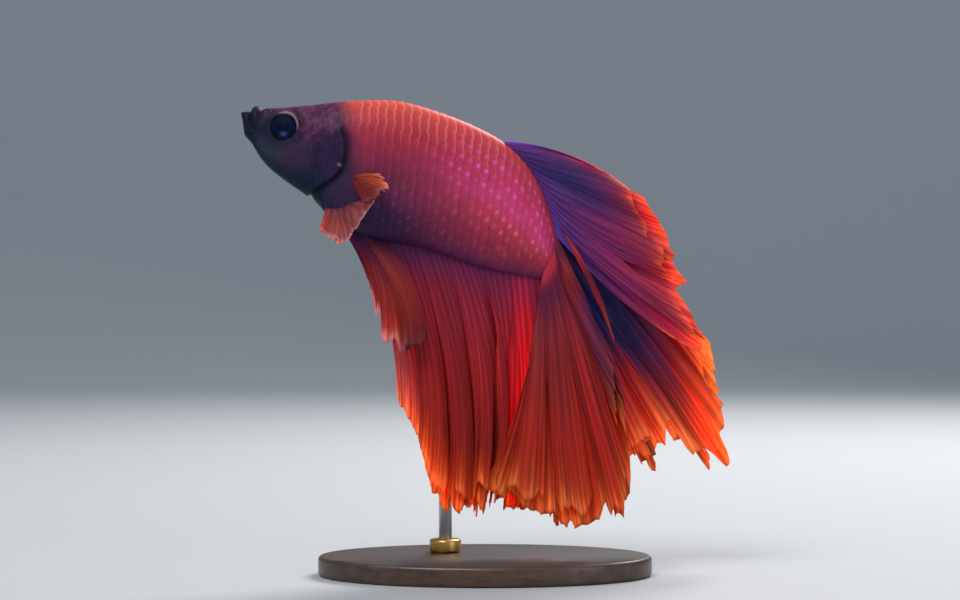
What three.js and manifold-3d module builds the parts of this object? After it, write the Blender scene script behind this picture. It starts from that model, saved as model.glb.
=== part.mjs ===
// Siamese fighting fish: a long-finned male, life size, held by a plain display stand.
// Millimetres, +Z up. The fish faces -X with its snout raised and shows its left side to -Y.
// The origin is the centre of the stand's underside.
import * as THREE from 'three';
import { mergeVertices } from 'three/addons/utils/BufferGeometryUtils.js';
import Module from 'manifold-3d';

const wasm = await Module();
wasm.setup();

// ---- Driving dimensions ----------------------------------------------------------------------

const GAP = 0.3; // clear space between neighbouring pieces
const DEGREE = Math.PI / 180;
const SMALL = 1e-3; // step for measuring slopes
const PRISM_DEPTH = 40; // more than the fish is wide

// The body's own frame: "along" runs from the snout towards the tail, "up" stands square to it.
const SNOUT = { x: -36.5, z: 69.8 };
const PITCH = 24 * DEGREE; // the snout is raised by this much
const BODY_LENGTH = 53.9; // snout to the end of the scaled tail root
const BEND_FROM = 18; // behind this the body curves away towards +Y
const BEND_RADIUS = 110;
const SNOUT_ROUND = 1.5;
const TAIL_ROUND = 2.4;
const BODY_AROUND = 24;
const BODY_ALONG = 32;
const SECTION_FULLNESS = 0.85; // under 1 makes the flanks fuller than an ellipse
const END_CROWDING = 0.5; // from 0, even rings, to 1, rings crowded at the snout and the tail root

// Place along the body, height of the back, depth of the belly, half of the width.
const BODY_PROFILE = [
  [0, 0.5, -0.7, 0.9],
  [2.5, 1.4, -3.3, 2.0],
  [6, 3.2, -5.8, 3.2],
  [10, 5.4, -7.1, 4.1],
  [15, 8.2, -8, 4.7],
  [21, 10.8, -10.3, 5.0],
  [27, 11.8, -9.5, 4.8],
  [33, 12.1, -8.1, 4.2],
  [38.5, 11.6, -7.5, 3.5],
  [43.5, 9.7, -7.0, 2.7],
  [48.5, 5.6, -5.9, 1.8],
  [52, 1.4, -5.0, 1.1],
];

const BACK = 0; // the column of the back once the place is taken off
const BELLY = 1;

// Where the body is parted, each line as [along, up] points.
const MOUTH_LINE = [[0.7, 2.2], [1.3, 0.2], [3.0, -1.9], [4.6, -4.6], [5.4, -8]];
const SHOULDER_LINE = [
  [14.6, 14], [15, 8], [15.2, 4.4], [16.8, 1.9], [17.8, -1.5], [16.6, -4.9], [14.9, -7.7], [14, -12],
];
const STALK_LINE = [[37.5, 18], [40.5, 6], [41.5, -2], [41, -14]];

// The gill cover's outline, a plate that lies in a pocket in the side of the head.
const GILL_COVER = [
  [10.6, 2.2], [12.6, 3.5], [14.6, 3.4], [16.3, 1.5], [17.3, -1.5],
  [16.2, -4.6], [14.4, -7.2], [12.6, -6.4], [11, -4], [10.4, -0.8],
];
const GILL_COVER_MIDDLE = [14, -1.8];
const GILL_COVER_THICKNESS = 1.1;
const GILL_COVER_PROUD = 0.15;
const GILL_COVER_INNER_EDGE = 0.9; // the covers stop this far short of the middle of the throat

const EYE = { along: 7, up: 0.4, out: 2.75, radius: 2.2, depth: 1.5 };

const FIN_THICKNESS = 0.55;
const FIN_ROOT_SUNK = 0.8; // the roots start this far inside the body, then are cut clear of it

// Each fin is a fan of bony rays. A ray leaves its root at "lean" degrees from +X, turns by "curl"
// degrees over its length, "reach", and its tip stands at Y = "tip". Rows are
// [share of the root passed, lean, curl, reach, tip], and rays between rows are blended.
const DORSAL_RAYS = [
  [0, 0, -34, 17.9, 1.2],
  [0.2, -17, -9, 21.8, 0.8],
  [0.4, -33, 13, 24.3, 1.2],
  [0.6, -43, 20, 27, 1.2],
  [0.8, -47.5, 15, 30, 0.8],
  [0.92, -47, 8, 29, 0.2],
  [1, -52, 15, 23, -0.4],
];
const UPPER_CAUDAL_RAYS = [
  [0, -20, -37, 29.6, 9.5],
  [0.1, -29, -21, 32.5, 10],
  [0.2, -35, -19, 36.5, 10.6],
  [0.46, -48, -10, 43.2, 10.6],
  [0.57, -55, -5, 41.5, 10],
  [0.74, -68, 18, 33.2, 8.8],
  [0.82, -66, 0, 37, 8.2],
  [1, -73, 1, 30, 7.4],
];
const LOWER_CAUDAL_RAYS = [
  [0, -59, -11, 18, 1.6],
  [0.08, -71, 20, 21, -0.4],
  [0.25, -68, -5, 31, -2],
  [0.36, -72, -3, 39, -2.5],
  [0.67, -87, 1, 39.8, -3.4],
  [0.83, -94, 0, 36.4, -3.2],
  [0.92, -95, -9, 35, -2.8],
  [1, -94, -23, 32, -2.2],
];
const FRONT_ANAL_RAYS = [
  [0, -71, 6, 10.8, -1.8],
  [0.25, -72, 2, 17.2, -2.8],
  [0.5, -61, -17, 19, -3.4],
  [1, -34, -49, 20, -2.8],
];
const REAR_ANAL_RAYS = [
  [0, -72, -16, 26, -0.2],
  [0.07, -65, -30, 30, 0.2],
  [0.14, -65, -31, 37, -0.6],
  [0.24, -69, -25, 40, -1.3],
  [0.49, -71, -27, 39.7, -1.7],
  [0.58, -67, -39, 37.2, -1],
  [0.67, -84, -12, 37.6, 0.9],
  [0.87, -85, -8, 36.2, 1.2],
  [1, -90, 6, 37.2, 2],
];

// The paired fins' tips are measured out from the middle plane, on either side.
const PECTORAL_RAYS = [
  [0, 17, -31, 6, 7.6],
  [0.4, -8, -8, 6.6, 8.4],
  [0.7, -40, 22, 6.6, 8],
  [1, -61, 3, 5.1, 7],
];
const PECTORAL_ROOT = [[18.3, 4.3, -1.9], [18.7, 4.3, -3.9]];
const PELVIC_RAYS = [
  [0, -104, 6, 4.5, 3.6],
  [0.4, -100, 20, 4.9, 3.8],
  [0.75, -66, -16, 3.6, 3.5],
  [1, -26, -10, 2.2, 3.1],
];
const PELVIC_ROOT = [[18.8, 2.4, -7.7], [21.2, 2.4, -7.6]];
const RIGHT_PELVIC_LEAN = -18; // the far pelvic fin is carried a little further forward

const BASE = { length: 50, width: 32, height: 3, bevel: 0.6 };
const ROD_RADIUS = 1;
const ROD_FOOT = { x: -6, y: 4.4, z: 1 };
const ROD_TOP = { x: -6, y: 2.7, z: 55 };
const COLLAR = { radius: 2.4, height: 2, bevel: 0.4 };

// ---- Small tools -----------------------------------------------------------------------------

const mix = (a, b, share) => a + (b - a) * share;

// Reads a table of rows whose first column rises, on a smooth curve through every row.
function between(rows, at) {
  const last = rows.length - 1;
  const place = Math.min(Math.max(at, rows[0][0]), rows[last][0]);
  let i = 0;
  while (i < last - 1 && place > rows[i + 1][0]) i += 1;
  const before = rows[Math.max(i - 1, 0)];
  const from = rows[i];
  const to = rows[i + 1];
  const after = rows[Math.min(i + 2, last)];
  const span = to[0] - from[0];
  const t = (place - from[0]) / span;
  return from.slice(1).map((value, column) => {
    const k = column + 1;
    const leave = ((to[k] - before[k]) / (to[0] - before[0])) * span;
    const arrive = ((after[k] - value) / (after[0] - from[0])) * span;
    const rise = to[k] - value;
    return value + t * (leave + t * (3 * rise - 2 * leave - arrive + t * (leave + arrive - 2 * rise)));
  });
}

// A place given in the body's own frame, as a point in the model.
function inBody(along, side, up) {
  const turn = Math.max(along - BEND_FROM, 0) / BEND_RADIUS;
  const straight = Math.min(along, BEND_FROM) + BEND_RADIUS * Math.sin(turn) - side * Math.sin(turn);
  return new THREE.Vector3(
    SNOUT.x + straight * Math.cos(PITCH) + up * Math.sin(PITCH),
    BEND_RADIUS * (1 - Math.cos(turn)) + side * Math.cos(turn),
    SNOUT.z - straight * Math.sin(PITCH) + up * Math.cos(PITCH),
  );
}

// Moves every corner of a geometry to where "move" sends it.
function reshape(geometry, move) {
  const corners = geometry.attributes.position;
  const corner = new THREE.Vector3();
  for (let i = 0; i < corners.count; i += 1) {
    corner.fromBufferAttribute(corners, i);
    const { x, y, z } = move(corner);
    corners.setXYZ(i, x, y, z);
  }
  return geometry;
}

function toSolid(geometry) {
  const bare = geometry.clone();
  bare.deleteAttribute('normal');
  bare.deleteAttribute('uv');
  const merged = mergeVertices(bare);
  return new wasm.Manifold(new wasm.Mesh({
    numProp: 3,
    vertProperties: new Float32Array(merged.attributes.position.array),
    triVerts: new Uint32Array(merged.index.array),
  }));
}

function toGeometry(solid) {
  const { vertProperties, triVerts } = solid.getMesh();
  const geometry = new THREE.BufferGeometry();
  geometry.setAttribute('position', new THREE.BufferAttribute(vertProperties, 3));
  geometry.setIndex(new THREE.BufferAttribute(triVerts, 1));
  geometry.computeVertexNormals();
  return geometry;
}

const largest = (solid) => solid.decompose().sort((a, b) => b.volume() - a.volume())[0];

// A prism that stands across the body on an outline drawn in the body's side view.
function acrossBody(outline) {
  const shape = new THREE.Shape(outline);
  const prism = new THREE.ExtrudeGeometry(shape, { depth: PRISM_DEPTH, bevelEnabled: false });
  prism.translate(0, 0, -PRISM_DEPTH / 2);
  prism.rotateX(Math.PI / 2);
  prism.rotateY(PITCH);
  prism.translate(SNOUT.x, 0, SNOUT.z);
  return toSolid(prism);
}

const toPoints = (pairs) => pairs.map(([along, up]) => new THREE.Vector2(along, up));

// A thin saw cut along a line drawn in the body's side view.
function sawCut(line) {
  const curve = new THREE.SplineCurve(toPoints(line));
  const steps = 2 * (line.length - 1);
  const edge = (half) => Array.from({ length: steps + 1 }, (_, i) => {
    const tangent = curve.getTangent(i / steps);
    return curve.getPoint(i / steps).add(new THREE.Vector2(-tangent.y, tangent.x).multiplyScalar(half));
  });
  return acrossBody([...edge(GAP / 2).reverse(), ...edge(-GAP / 2)]);
}

// ---- The body --------------------------------------------------------------------------------

// The whole body, made thicker all round by "grow". It starts as a sphere whose poles become the
// snout and the tail root.
function bodySolid(grow) {
  const sphere = new THREE.SphereGeometry(1, BODY_AROUND, BODY_ALONG);
  return toSolid(reshape(sphere, (corner) => {
    const share = Math.acos(THREE.MathUtils.clamp(corner.y, -1, 1)) / Math.PI;
    const eased = share - (END_CROWDING * Math.sin(2 * Math.PI * share)) / (2 * Math.PI);
    const along = mix(-grow, BODY_LENGTH + grow, eased);
    const [back, belly, half] = between(BODY_PROFILE, along);
    const fromSnout = Math.min((along + grow) / SNOUT_ROUND, 1);
    const fromTail = Math.min((BODY_LENGTH + grow - along) / TAIL_ROUND, 1);
    const closing = Math.sqrt(1 - (1 - fromSnout) ** 2) * Math.sqrt(1 - (1 - fromTail) ** 2);
    const ring = Math.hypot(corner.x, corner.z) || 1;
    const up = corner.x / ring;
    const side = -corner.z / ring;
    const width = (half + grow) * closing * Math.sign(side) * Math.abs(side) ** SECTION_FULLNESS;
    const height = ((back - belly) / 2 + grow) * closing * up;
    return inBody(along, width, (back + belly) / 2 + height);
  }));
}

const body = bodySolid(0);
const clearOfBody = bodySolid(GAP);

function eyeSolid(side, grow) {
  const eye = new THREE.SphereGeometry(1, 14, 9);
  eye.scale(EYE.radius + grow, EYE.depth + grow, EYE.radius + grow);
  const { x, y, z } = inBody(EYE.along, side * EYE.out, EYE.up);
  return toSolid(eye.translate(x, y, z));
}

// One gill cover, or with a positive "slack" the pocket that takes it.
function gillCover(side, slack) {
  const curve = new THREE.SplineCurve(toPoints([...GILL_COVER, GILL_COVER[0]]));
  const middle = new THREE.Vector2(...GILL_COVER_MIDDLE);
  const outline = curve.getPoints(16).slice(0, -1).map((point) => {
    const outwards = point.clone().sub(middle).setLength(slack);
    return point.clone().add(outwards);
  });
  const plate = acrossBody(outline.reverse())
    .intersect(bodySolid(GILL_COVER_PROUD + slack))
    .subtract(bodySolid(-GILL_COVER_THICKNESS - slack));
  return largest(plate.trimByPlane([0, side, 0], GILL_COVER_INNER_EDGE - slack));
}

// ---- Fins ------------------------------------------------------------------------------------

// A point of a fin: "share" runs along its root and "out" from root to tip. Each ray is an arc.
function rayPoint({ rays, root, shape }, share, out) {
  const [lean, curl, reach, tip] = between(rays, share);
  const start = root(share);
  const halfTurn = (curl * DEGREE * out) / 2;
  const chord = reach * out * (Math.abs(halfTurn) > SMALL ? Math.sin(halfTurn) / halfTurn : 1);
  const heading = lean * DEGREE + halfTurn;
  const fold = shape.fold * Math.sin(2 * Math.PI * shape.folds * share + shape.phase) * out * out;
  const bow = shape.bow * 4 * out * (1 - out);
  return new THREE.Vector3(
    start.x + chord * Math.cos(heading),
    mix(start.y, tip, out) + fold + bow,
    start.z + chord * Math.sin(heading),
  );
}

// The fin as a thick sheet: a box whose faces are bent onto the fan of rays. "grow" thickens it,
// for cutting a neighbour clear of it.
function finSolid(fin, grow) {
  const box = new THREE.BoxGeometry(1, 1, 1, fin.grid.columns, fin.grid.rows, 1);
  return toSolid(reshape(box, (corner) => {
    const share = corner.x + 0.5;
    const out = corner.y + 0.5;
    const here = rayPoint(fin, share, out);
    const alongRoot = rayPoint(fin, share + SMALL, out).sub(rayPoint(fin, share - SMALL, out));
    const alongRay = rayPoint(fin, share, out + SMALL).sub(rayPoint(fin, share, out - SMALL));
    const across = alongRoot.cross(alongRay).normalize();
    return here.add(across.multiplyScalar(corner.z * (FIN_THICKNESS + 2 * grow)));
  }));
}

// A root along the ridge of the back or the keel of the belly, sunk into the body.
function ridgeRoot(from, to, line) {
  return (share) => {
    const along = mix(from, to, share);
    const height = between(BODY_PROFILE, along)[line];
    return inBody(along, 0, height - Math.sign(height) * FIN_ROOT_SUNK);
  };
}

// A straight root between two points of the model.
function lineRoot(from, to) {
  return (share) => new THREE.Vector3(...from).lerp(new THREE.Vector3(...to), share);
}

// Where two fins meet at their roots, the one listed later is cut clear of the earlier one. "bow"
// pushes the middle of every ray aside, and "fold" is the depth of the "folds" that open at the tips.
const FINS = {
  caudal_fin_lower: {
    rays: LOWER_CAUDAL_RAYS,
    root: lineRoot([10.6, 4.6, 51.4], [9.4, 4.2, 45.2]),
    shape: { bow: 0, fold: 0.8, folds: 4.5, phase: 0 },
    grid: { columns: 25, rows: 7 },
  },
  dorsal_fin: {
    rays: DORSAL_RAYS,
    root: ridgeRoot(36.5, 50.5, BACK),
    shape: { bow: -0.7, fold: 0.7, folds: 3.5, phase: 0 },
    grid: { columns: 24, rows: 6 },
  },
  anal_fin_front: {
    rays: FRONT_ANAL_RAYS,
    root: ridgeRoot(21.9, 25.4, BELLY),
    shape: { bow: -0.5, fold: 0.2, folds: 2, phase: 0 },
    grid: { columns: 10, rows: 5 },
  },
  anal_fin_rear: {
    rays: REAR_ANAL_RAYS,
    root: ridgeRoot(24.8, 52, BELLY),
    shape: { bow: 0, fold: 0.5, folds: 6, phase: 0 },
    grid: { columns: 30, rows: 7 },
  },
  caudal_fin_upper: {
    rays: UPPER_CAUDAL_RAYS,
    root: lineRoot([10.4, 5.8, 54.2], [10.8, 6, 48.4]),
    shape: { bow: 0.4, fold: 0.8, folds: 4, phase: 1 },
    grid: { columns: 24, rows: 7 },
  },
};

// One fin of a pair. Its root runs between two places [along, side, up] of the body's own frame.
function pairedFin(side, rays, [from, to], extraLean) {
  const inPlace = ([along, out, up]) => inBody(along, side * out, up);
  return {
    rays: rays.map(([share, lean, curl, reach, tip]) => [share, lean + extraLean, curl, reach, side * tip]),
    root: lineRoot(inPlace(from), inPlace(to)),
    shape: { bow: 0, fold: 0.25 * side, folds: 2, phase: 0 },
    grid: { columns: 7, rows: 3 },
  };
}

// ---- Stand -----------------------------------------------------------------------------------

// A flat disc turned about Z, with its top edge chamfered.
function chamferedDisc(radius, height, bevel, steps) {
  const corners = [[0, 0], [radius, 0], [radius, height - bevel], [radius - bevel, height], [0, height]];
  const profile = corners.map(([out, up]) => new THREE.Vector2(out, up));
  return new THREE.LatheGeometry(profile, steps).rotateX(Math.PI / 2);
}

function rodSolid(grow) {
  const foot = new THREE.Vector3(ROD_FOOT.x, ROD_FOOT.y, ROD_FOOT.z);
  const top = new THREE.Vector3(ROD_TOP.x, ROD_TOP.y, ROD_TOP.z);
  const length = foot.distanceTo(top) + 2 * grow;
  const rod = new THREE.CylinderGeometry(ROD_RADIUS + grow, ROD_RADIUS + grow, length, 16);
  const aim = new THREE.Quaternion().setFromUnitVectors(
    new THREE.Vector3(0, 1, 0),
    top.clone().sub(foot).normalize(),
  );
  const middle = foot.lerp(top, 0.5);
  return toSolid(rod.applyQuaternion(aim).translate(middle.x, middle.y, middle.z));
}

function baseSolid() {
  const disc = chamferedDisc(BASE.length / 2, BASE.height, BASE.bevel, 40);
  return toSolid(disc.scale(1, BASE.width / BASE.length, 1));
}

function collarSolid() {
  const ring = chamferedDisc(COLLAR.radius, COLLAR.height, COLLAR.bevel, 16);
  return toSolid(ring.translate(ROD_FOOT.x, ROD_FOOT.y, BASE.height));
}

// ---- The object ------------------------------------------------------------------------------

const fish = new THREE.Group();

function addPart(name, solid, colour, roughness, metalness = 0) {
  const material = new THREE.MeshStandardMaterial({ color: colour, roughness, metalness });
  const mesh = new THREE.Mesh(toGeometry(solid), material);
  mesh.name = name;
  fish.add(mesh);
}

const LEFT = -1;
const RIGHT = 1;
const FIN_COLOUR = 0xc82a1e;
const rodHole = rodSolid(GAP);

// The body is modelled whole, then parted with saw cuts. Its pieces are sorted from snout to tail.
const cuts = [MOUTH_LINE, SHOULDER_LINE, STALK_LINE].map(sawCut);
const pieces = cuts.reduce((left, cut) => left.subtract(cut), body).decompose();
pieces.sort((a, b) => a.boundingBox().min[0] - b.boundingBox().min[0]);
const [jaw, head, trunk, stalk] = pieces;
const headWithPockets = [LEFT, RIGHT].reduce(
  (left, side) => left.subtract(gillCover(side, GAP)).subtract(eyeSolid(side, GAP)),
  head,
);

addPart('lower_jaw', jaw, 0x3a2a3c, 0.4);
addPart('head', largest(headWithPockets), 0x4a2c3a, 0.4);
addPart('trunk', largest(trunk.subtract(rodHole)), 0xc23a22, 0.4);
addPart('tail_stalk', stalk, 0xb8322a, 0.4);
for (const [name, side] of [['left', LEFT], ['right', RIGHT]]) {
  const pectoral = pairedFin(side, PECTORAL_RAYS, PECTORAL_ROOT, 0);
  const pelvic = pairedFin(side, PELVIC_RAYS, PELVIC_ROOT, side === RIGHT ? RIGHT_PELVIC_LEAN : 0);
  addPart(`gill_cover_${name}`, gillCover(side, 0), 0x5a3040, 0.4);
  addPart(`eye_${name}`, eyeSolid(side, 0), 0x101018, 0.1);
  addPart(`pectoral_fin_${name}`, largest(finSolid(pectoral, 0).subtract(clearOfBody)), 0xe8602c, 0.5);
  addPart(`pelvic_fin_${name}`, largest(finSolid(pelvic, 0).subtract(clearOfBody)), 0xe07a5a, 0.5);
}

const placed = [];
for (const [name, fin] of Object.entries(FINS)) {
  const clearOfFins = placed.reduce((left, other) => left.subtract(finSolid(other, GAP)), finSolid(fin, 0));
  addPart(name, largest(clearOfFins.subtract(clearOfBody)), FIN_COLOUR, 0.5);
  placed.push(fin);
}

addPart('stand_base', baseSolid().subtract(rodHole), 0x2a2320, 0.35);
addPart('stand_collar', collarSolid().subtract(rodHole), 0xb08d4f, 0.3, 1);
addPart('stand_rod', rodSolid(0), 0x9a9a9c, 0.25, 1);

export default fish;
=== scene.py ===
# %% [markdown]
# # A fighting fish on a display stand
# We dress a long-finned male fighting fish. The fixed frame gives plain solids of its body, fins, eyes
# and stand. We lay one skin over the body, cover it with real scales, spread the fins as thin folded
# membranes, and finish every surface with node materials.
# %% Load the frame
import math

import bmesh
import bpy
import numpy as np
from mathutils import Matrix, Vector


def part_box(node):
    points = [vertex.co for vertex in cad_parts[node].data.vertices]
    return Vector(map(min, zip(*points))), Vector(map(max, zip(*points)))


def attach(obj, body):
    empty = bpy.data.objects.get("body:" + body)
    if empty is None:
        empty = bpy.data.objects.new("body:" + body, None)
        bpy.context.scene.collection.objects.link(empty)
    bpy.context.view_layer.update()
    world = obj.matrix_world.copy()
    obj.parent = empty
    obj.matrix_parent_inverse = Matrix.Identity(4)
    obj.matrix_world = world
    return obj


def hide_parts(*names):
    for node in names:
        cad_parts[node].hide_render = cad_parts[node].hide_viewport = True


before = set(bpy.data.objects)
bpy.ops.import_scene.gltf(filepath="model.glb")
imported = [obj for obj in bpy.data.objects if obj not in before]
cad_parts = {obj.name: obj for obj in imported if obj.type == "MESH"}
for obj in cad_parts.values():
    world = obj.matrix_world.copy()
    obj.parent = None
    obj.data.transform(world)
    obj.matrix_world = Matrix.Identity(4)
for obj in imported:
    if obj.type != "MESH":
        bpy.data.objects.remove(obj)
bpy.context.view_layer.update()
base_low, base_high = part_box("stand_base")
BASE_LENGTH_MM = 50
MM = (base_high.x - base_low.x) / BASE_LENGTH_MM
print("nodes", len(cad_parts), "one millimetre is", round(MM, 6))

# %% [markdown]
# ## Camera
# The fish is seen level and square to its left side, from a third of a metre. A long lens keeps the
# proportions true. The camera looks along +Y at a point above the stand.
# %% Camera
CAMERA_PLACE_MM = (-0.75, -340, 41.25)
camera = bpy.data.objects.new("camera", bpy.data.cameras.new("camera"))
bpy.context.collection.objects.link(camera)
camera.data.lens = 85
camera.data.sensor_width = 36
camera.data.clip_start = 0.01
camera.location = Vector(CAMERA_PLACE_MM) * MM
camera.rotation_euler = (math.pi / 2, 0, 0)
bpy.context.scene.camera = camera
bpy.context.scene.view_settings.view_transform = "Standard"
print("camera", [round(value, 4) for value in camera.location])

# %% [markdown]
# ## Node helpers
# Every material here is a small tree of shader nodes. These helpers make a node, set its sockets and
# join it up in one line, so that a finish reads as a recipe.
# %% Node helpers
def srgb(code):
    parts = [int(code[i:i + 2], 16) / 255 for i in (1, 3, 5)]
    linear = [p / 12.92 if p <= 0.04045 else ((p + 0.055) / 1.055) ** 2.4 for p in parts]
    return (*linear, 1)


def node(tree, kind, inputs, **settings):
    """Adds a node. A value in inputs may be a number, a colour or another node's socket."""
    made = tree.nodes.new("ShaderNode" + kind)
    for name, value in settings.items():
        setattr(made, name, value)
    for name, value in inputs.items():
        socket = made.inputs[name]
        if isinstance(value, bpy.types.NodeSocket):
            tree.links.new(value, socket)
        else:
            socket.default_value = srgb(value) if isinstance(value, str) else value
    return made


def maths(tree, operation, *values):
    return node(tree, "Math", dict(enumerate(values)), operation=operation).outputs[0]


def plus(tree, first, second):
    return maths(tree, "ADD", first, second)


def minus(tree, first, second):
    return maths(tree, "SUBTRACT", first, second)


def times(tree, first, second):
    return maths(tree, "MULTIPLY", first, second)


def attribute(tree, name):
    return node(tree, "Attribute", {}, attribute_name=name).outputs["Fac"]


def object_place(tree):
    return node(tree, "TexCoord", {}).outputs["Object"]


def step_up(tree, value, low, high):
    """0 where value is below low, 1 above high, with a soft passage. It falls where low is above high."""
    sockets = {"Value": value, "From Min": low, "From Max": high}
    return node(tree, "MapRange", sockets, interpolation_type="SMOOTHSTEP").outputs[0]


def blend(tree, share, first, second):
    sockets = {"Factor": share, 6: first, 7: second}
    return node(tree, "Mix", sockets, data_type="RGBA").outputs[2]


def tinted(tree, colour, share, strength, tint):
    """Blends a colour towards a tint by a share, which strength weakens."""
    return blend(tree, times(tree, share, strength), colour, tint)


def blend_times(tree, colour, strength):
    """A colour made darker or lighter by a number."""
    if isinstance(strength, float):
        strength = (strength, strength, strength, 1)
    sockets = {"Factor": 1, 6: colour, 7: strength}
    return node(tree, "Mix", sockets, data_type="RGBA", blend_type="MULTIPLY").outputs[2]


def noise(tree, place, scale, detail=2, roughness=0.5):
    sockets = {"Vector": place, "Scale": scale, "Detail": detail, "Roughness": roughness}
    return node(tree, "TexNoise", sockets).outputs["Fac"]


def ramp(tree, value, stops):
    made = node(tree, "ValToRGB", {"Fac": value})
    elements = made.color_ramp.elements
    while len(elements) < len(stops):
        elements.new(0.5)
    for element, (place, code) in zip(elements, stops):
        element.position = place
        element.color = srgb(code)
    return made.outputs["Color"]


def bumps(tree, height, strength, distance=0.0001):
    return node(tree, "Bump", {"Height": height, "Strength": strength, "Distance": distance}).outputs[0]


def new_material(name):
    material = bpy.data.materials.new(name)
    material.use_nodes = True
    material.node_tree.nodes.clear()
    return material, material.node_tree


def end_material(tree, surface):
    node(tree, "OutputMaterial", {"Surface": surface})


# %% [markdown]
# ## Room and light
# The floor is a pale sweep that curves up behind, so that no line cuts the picture. A large soft light
# stands above and in front, a weaker one fills the other side, and one behind shines through the fins.
# %% Sweep
SWEEP_WIDTH = 4
SWEEP_FRONT = -1.5
SWEEP_STRAIGHT = 0.7
SWEEP_RADIUS = 0.5
SWEEP_WALL = 1.5


def sweep_place(share):
    """The sweep's side view: flat, then a quarter turn, then a wall. Share runs from 0 to 1."""
    arc = SWEEP_RADIUS * math.pi / 2
    flat = SWEEP_STRAIGHT - SWEEP_FRONT
    run = share * (flat + arc + SWEEP_WALL)
    if run < flat:
        return SWEEP_FRONT + run, 0
    if run < flat + arc:
        turn = (run - flat) / SWEEP_RADIUS
        return SWEEP_STRAIGHT + SWEEP_RADIUS * math.sin(turn), SWEEP_RADIUS * (1 - math.cos(turn))
    return SWEEP_STRAIGHT + SWEEP_RADIUS, SWEEP_RADIUS + run - flat - arc


sweep_shape = bmesh.new()
bmesh.ops.create_grid(sweep_shape, x_segments=1, y_segments=120, size=1)
for vert in sweep_shape.verts:
    y, z = sweep_place((vert.co.y + 1) / 2)
    vert.co = (vert.co.x * SWEEP_WIDTH / 2, y, z)
sweep_mesh = bpy.data.meshes.new("floor_sweep")
sweep_shape.to_mesh(sweep_mesh)
sweep_mesh.shade_smooth()
sweep = bpy.data.objects.new("floor_sweep", sweep_mesh)
bpy.context.collection.objects.link(sweep)
paper, paper_tree = new_material("pale_paper")
paper_shader = node(paper_tree, "BsdfPrincipled", {"Base Color": "#aeb1b3", "Roughness": 0.8})
end_material(paper_tree, paper_shader.outputs[0])
sweep_mesh.materials.append(paper)
print("floor sweep", len(sweep_mesh.polygons), "faces")


# %% Lights
LIGHT_AIM = Vector((0, 0, 0.045))


def softbox(name, place, size, watts, tint):
    lamp = bpy.data.lights.new(name, "AREA")
    lamp.shape = "DISK"
    lamp.size = size
    lamp.energy = watts
    lamp.color = tint
    box = bpy.data.objects.new(name, lamp)
    bpy.context.collection.objects.link(box)
    box.location = place
    aim = LIGHT_AIM - box.location
    box.rotation_euler = aim.to_track_quat("-Z", "Y").to_euler()


softbox("key_light", (-0.2, -0.32, 0.55), 0.34, 2.7, (1, 0.97, 0.94))
softbox("fill_light", (0.5, -0.4, 0.15), 0.4, 0.7, (0.92, 0.96, 1))
softbox("back_light", (0.22, 0.36, 0.42), 0.3, 3.7, (1, 0.97, 0.95))
world = bpy.data.worlds.new("studio")
world.use_nodes = True
world.node_tree.nodes["Background"].inputs["Color"].default_value = (0.72, 0.84, 1, 1)
world.node_tree.nodes["Background"].inputs["Strength"].default_value = 0.46
bpy.context.scene.world = world

# %% [markdown]
# ## The body as a surface
# A fish body is best drawn from its own profile: how high the back and how deep the belly stand at each
# place along it, and how wide it is. The same few numbers carry the skin, the scales and the fin roots,
# so they always fit each other. Lengths here are millimetres, and become metres when a mesh is laid.
# %% Profile
SNOUT = (-36.5, 69.8)  # x and z of the tip of the snout
PITCH = math.radians(24)
BODY_LENGTH = 53.9
BEND_FROM = 18
BEND_RADIUS = 110
SNOUT_ROUND = 1.5
TAIL_ROUND = 2.4
SECTION_FULLNESS = 0.85
COAT_DEPTH = 0.14  # the skin lies this far inside the solids, and the scales fill the rest
BACK, BELLY = 0, 1
SIDES = ((-1, "left"), (1, "right"))  # the fish's own left is towards -Y
BODY_PROFILE = [  # place along the body, height of the back, depth of the belly, half of the width
    (0, 0.1, -0.9, 0.9),
    (2.5, 1.4, -3.3, 2.0),
    (6, 3.2, -5.8, 3.2),
    (10, 5.4, -7.1, 4.1),
    (15, 8.2, -8.0, 4.7),
    (21, 10.8, -10.3, 5.0),
    (27, 11.8, -9.5, 4.8),
    (33, 12.1, -8.1, 4.2),
    (38.5, 11.6, -7.5, 3.5),
    (43.5, 9.7, -7.0, 2.7),
    (48.5, 5.6, -5.9, 1.8),
    (52, 1.4, -5.0, 1.1),
]


def between(rows, place):
    """Reads a table of rows whose first column rises, on a smooth curve through every row."""
    rows = np.asarray(rows, float)
    place = np.clip(place, rows[0, 0], rows[-1, 0])
    last = len(rows) - 1
    i = np.clip(np.searchsorted(rows[:, 0], place, side="right") - 1, 0, last - 1)
    before, start = rows[np.maximum(i - 1, 0)], rows[i]
    end, after = rows[i + 1], rows[np.minimum(i + 2, last)]
    span = (end - start)[:, :1]
    t = (place[:, None] - start[:, :1]) / span
    leave = (end - before) / (end - before)[:, :1] * span
    arrive = (after - start) / (after - start)[:, :1] * span
    rise = end - start
    curve = start + t * (leave + t * (3 * rise - 2 * leave - arrive + t * (leave + arrive - 2 * rise)))
    return curve[:, 1:]


def in_body(along, side, up):
    """A place in the body's own frame, as a point of the model in millimetres."""
    turn = np.maximum(along - BEND_FROM, 0) / BEND_RADIUS
    straight = np.minimum(along, BEND_FROM) + (BEND_RADIUS - side) * np.sin(turn)
    x = SNOUT[0] + straight * math.cos(PITCH) + up * math.sin(PITCH)
    y = BEND_RADIUS * (1 - np.cos(turn)) + side * np.cos(turn)
    z = SNOUT[1] - straight * math.sin(PITCH) + up * math.cos(PITCH)
    return np.stack([x, y, z], axis=-1)


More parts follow.
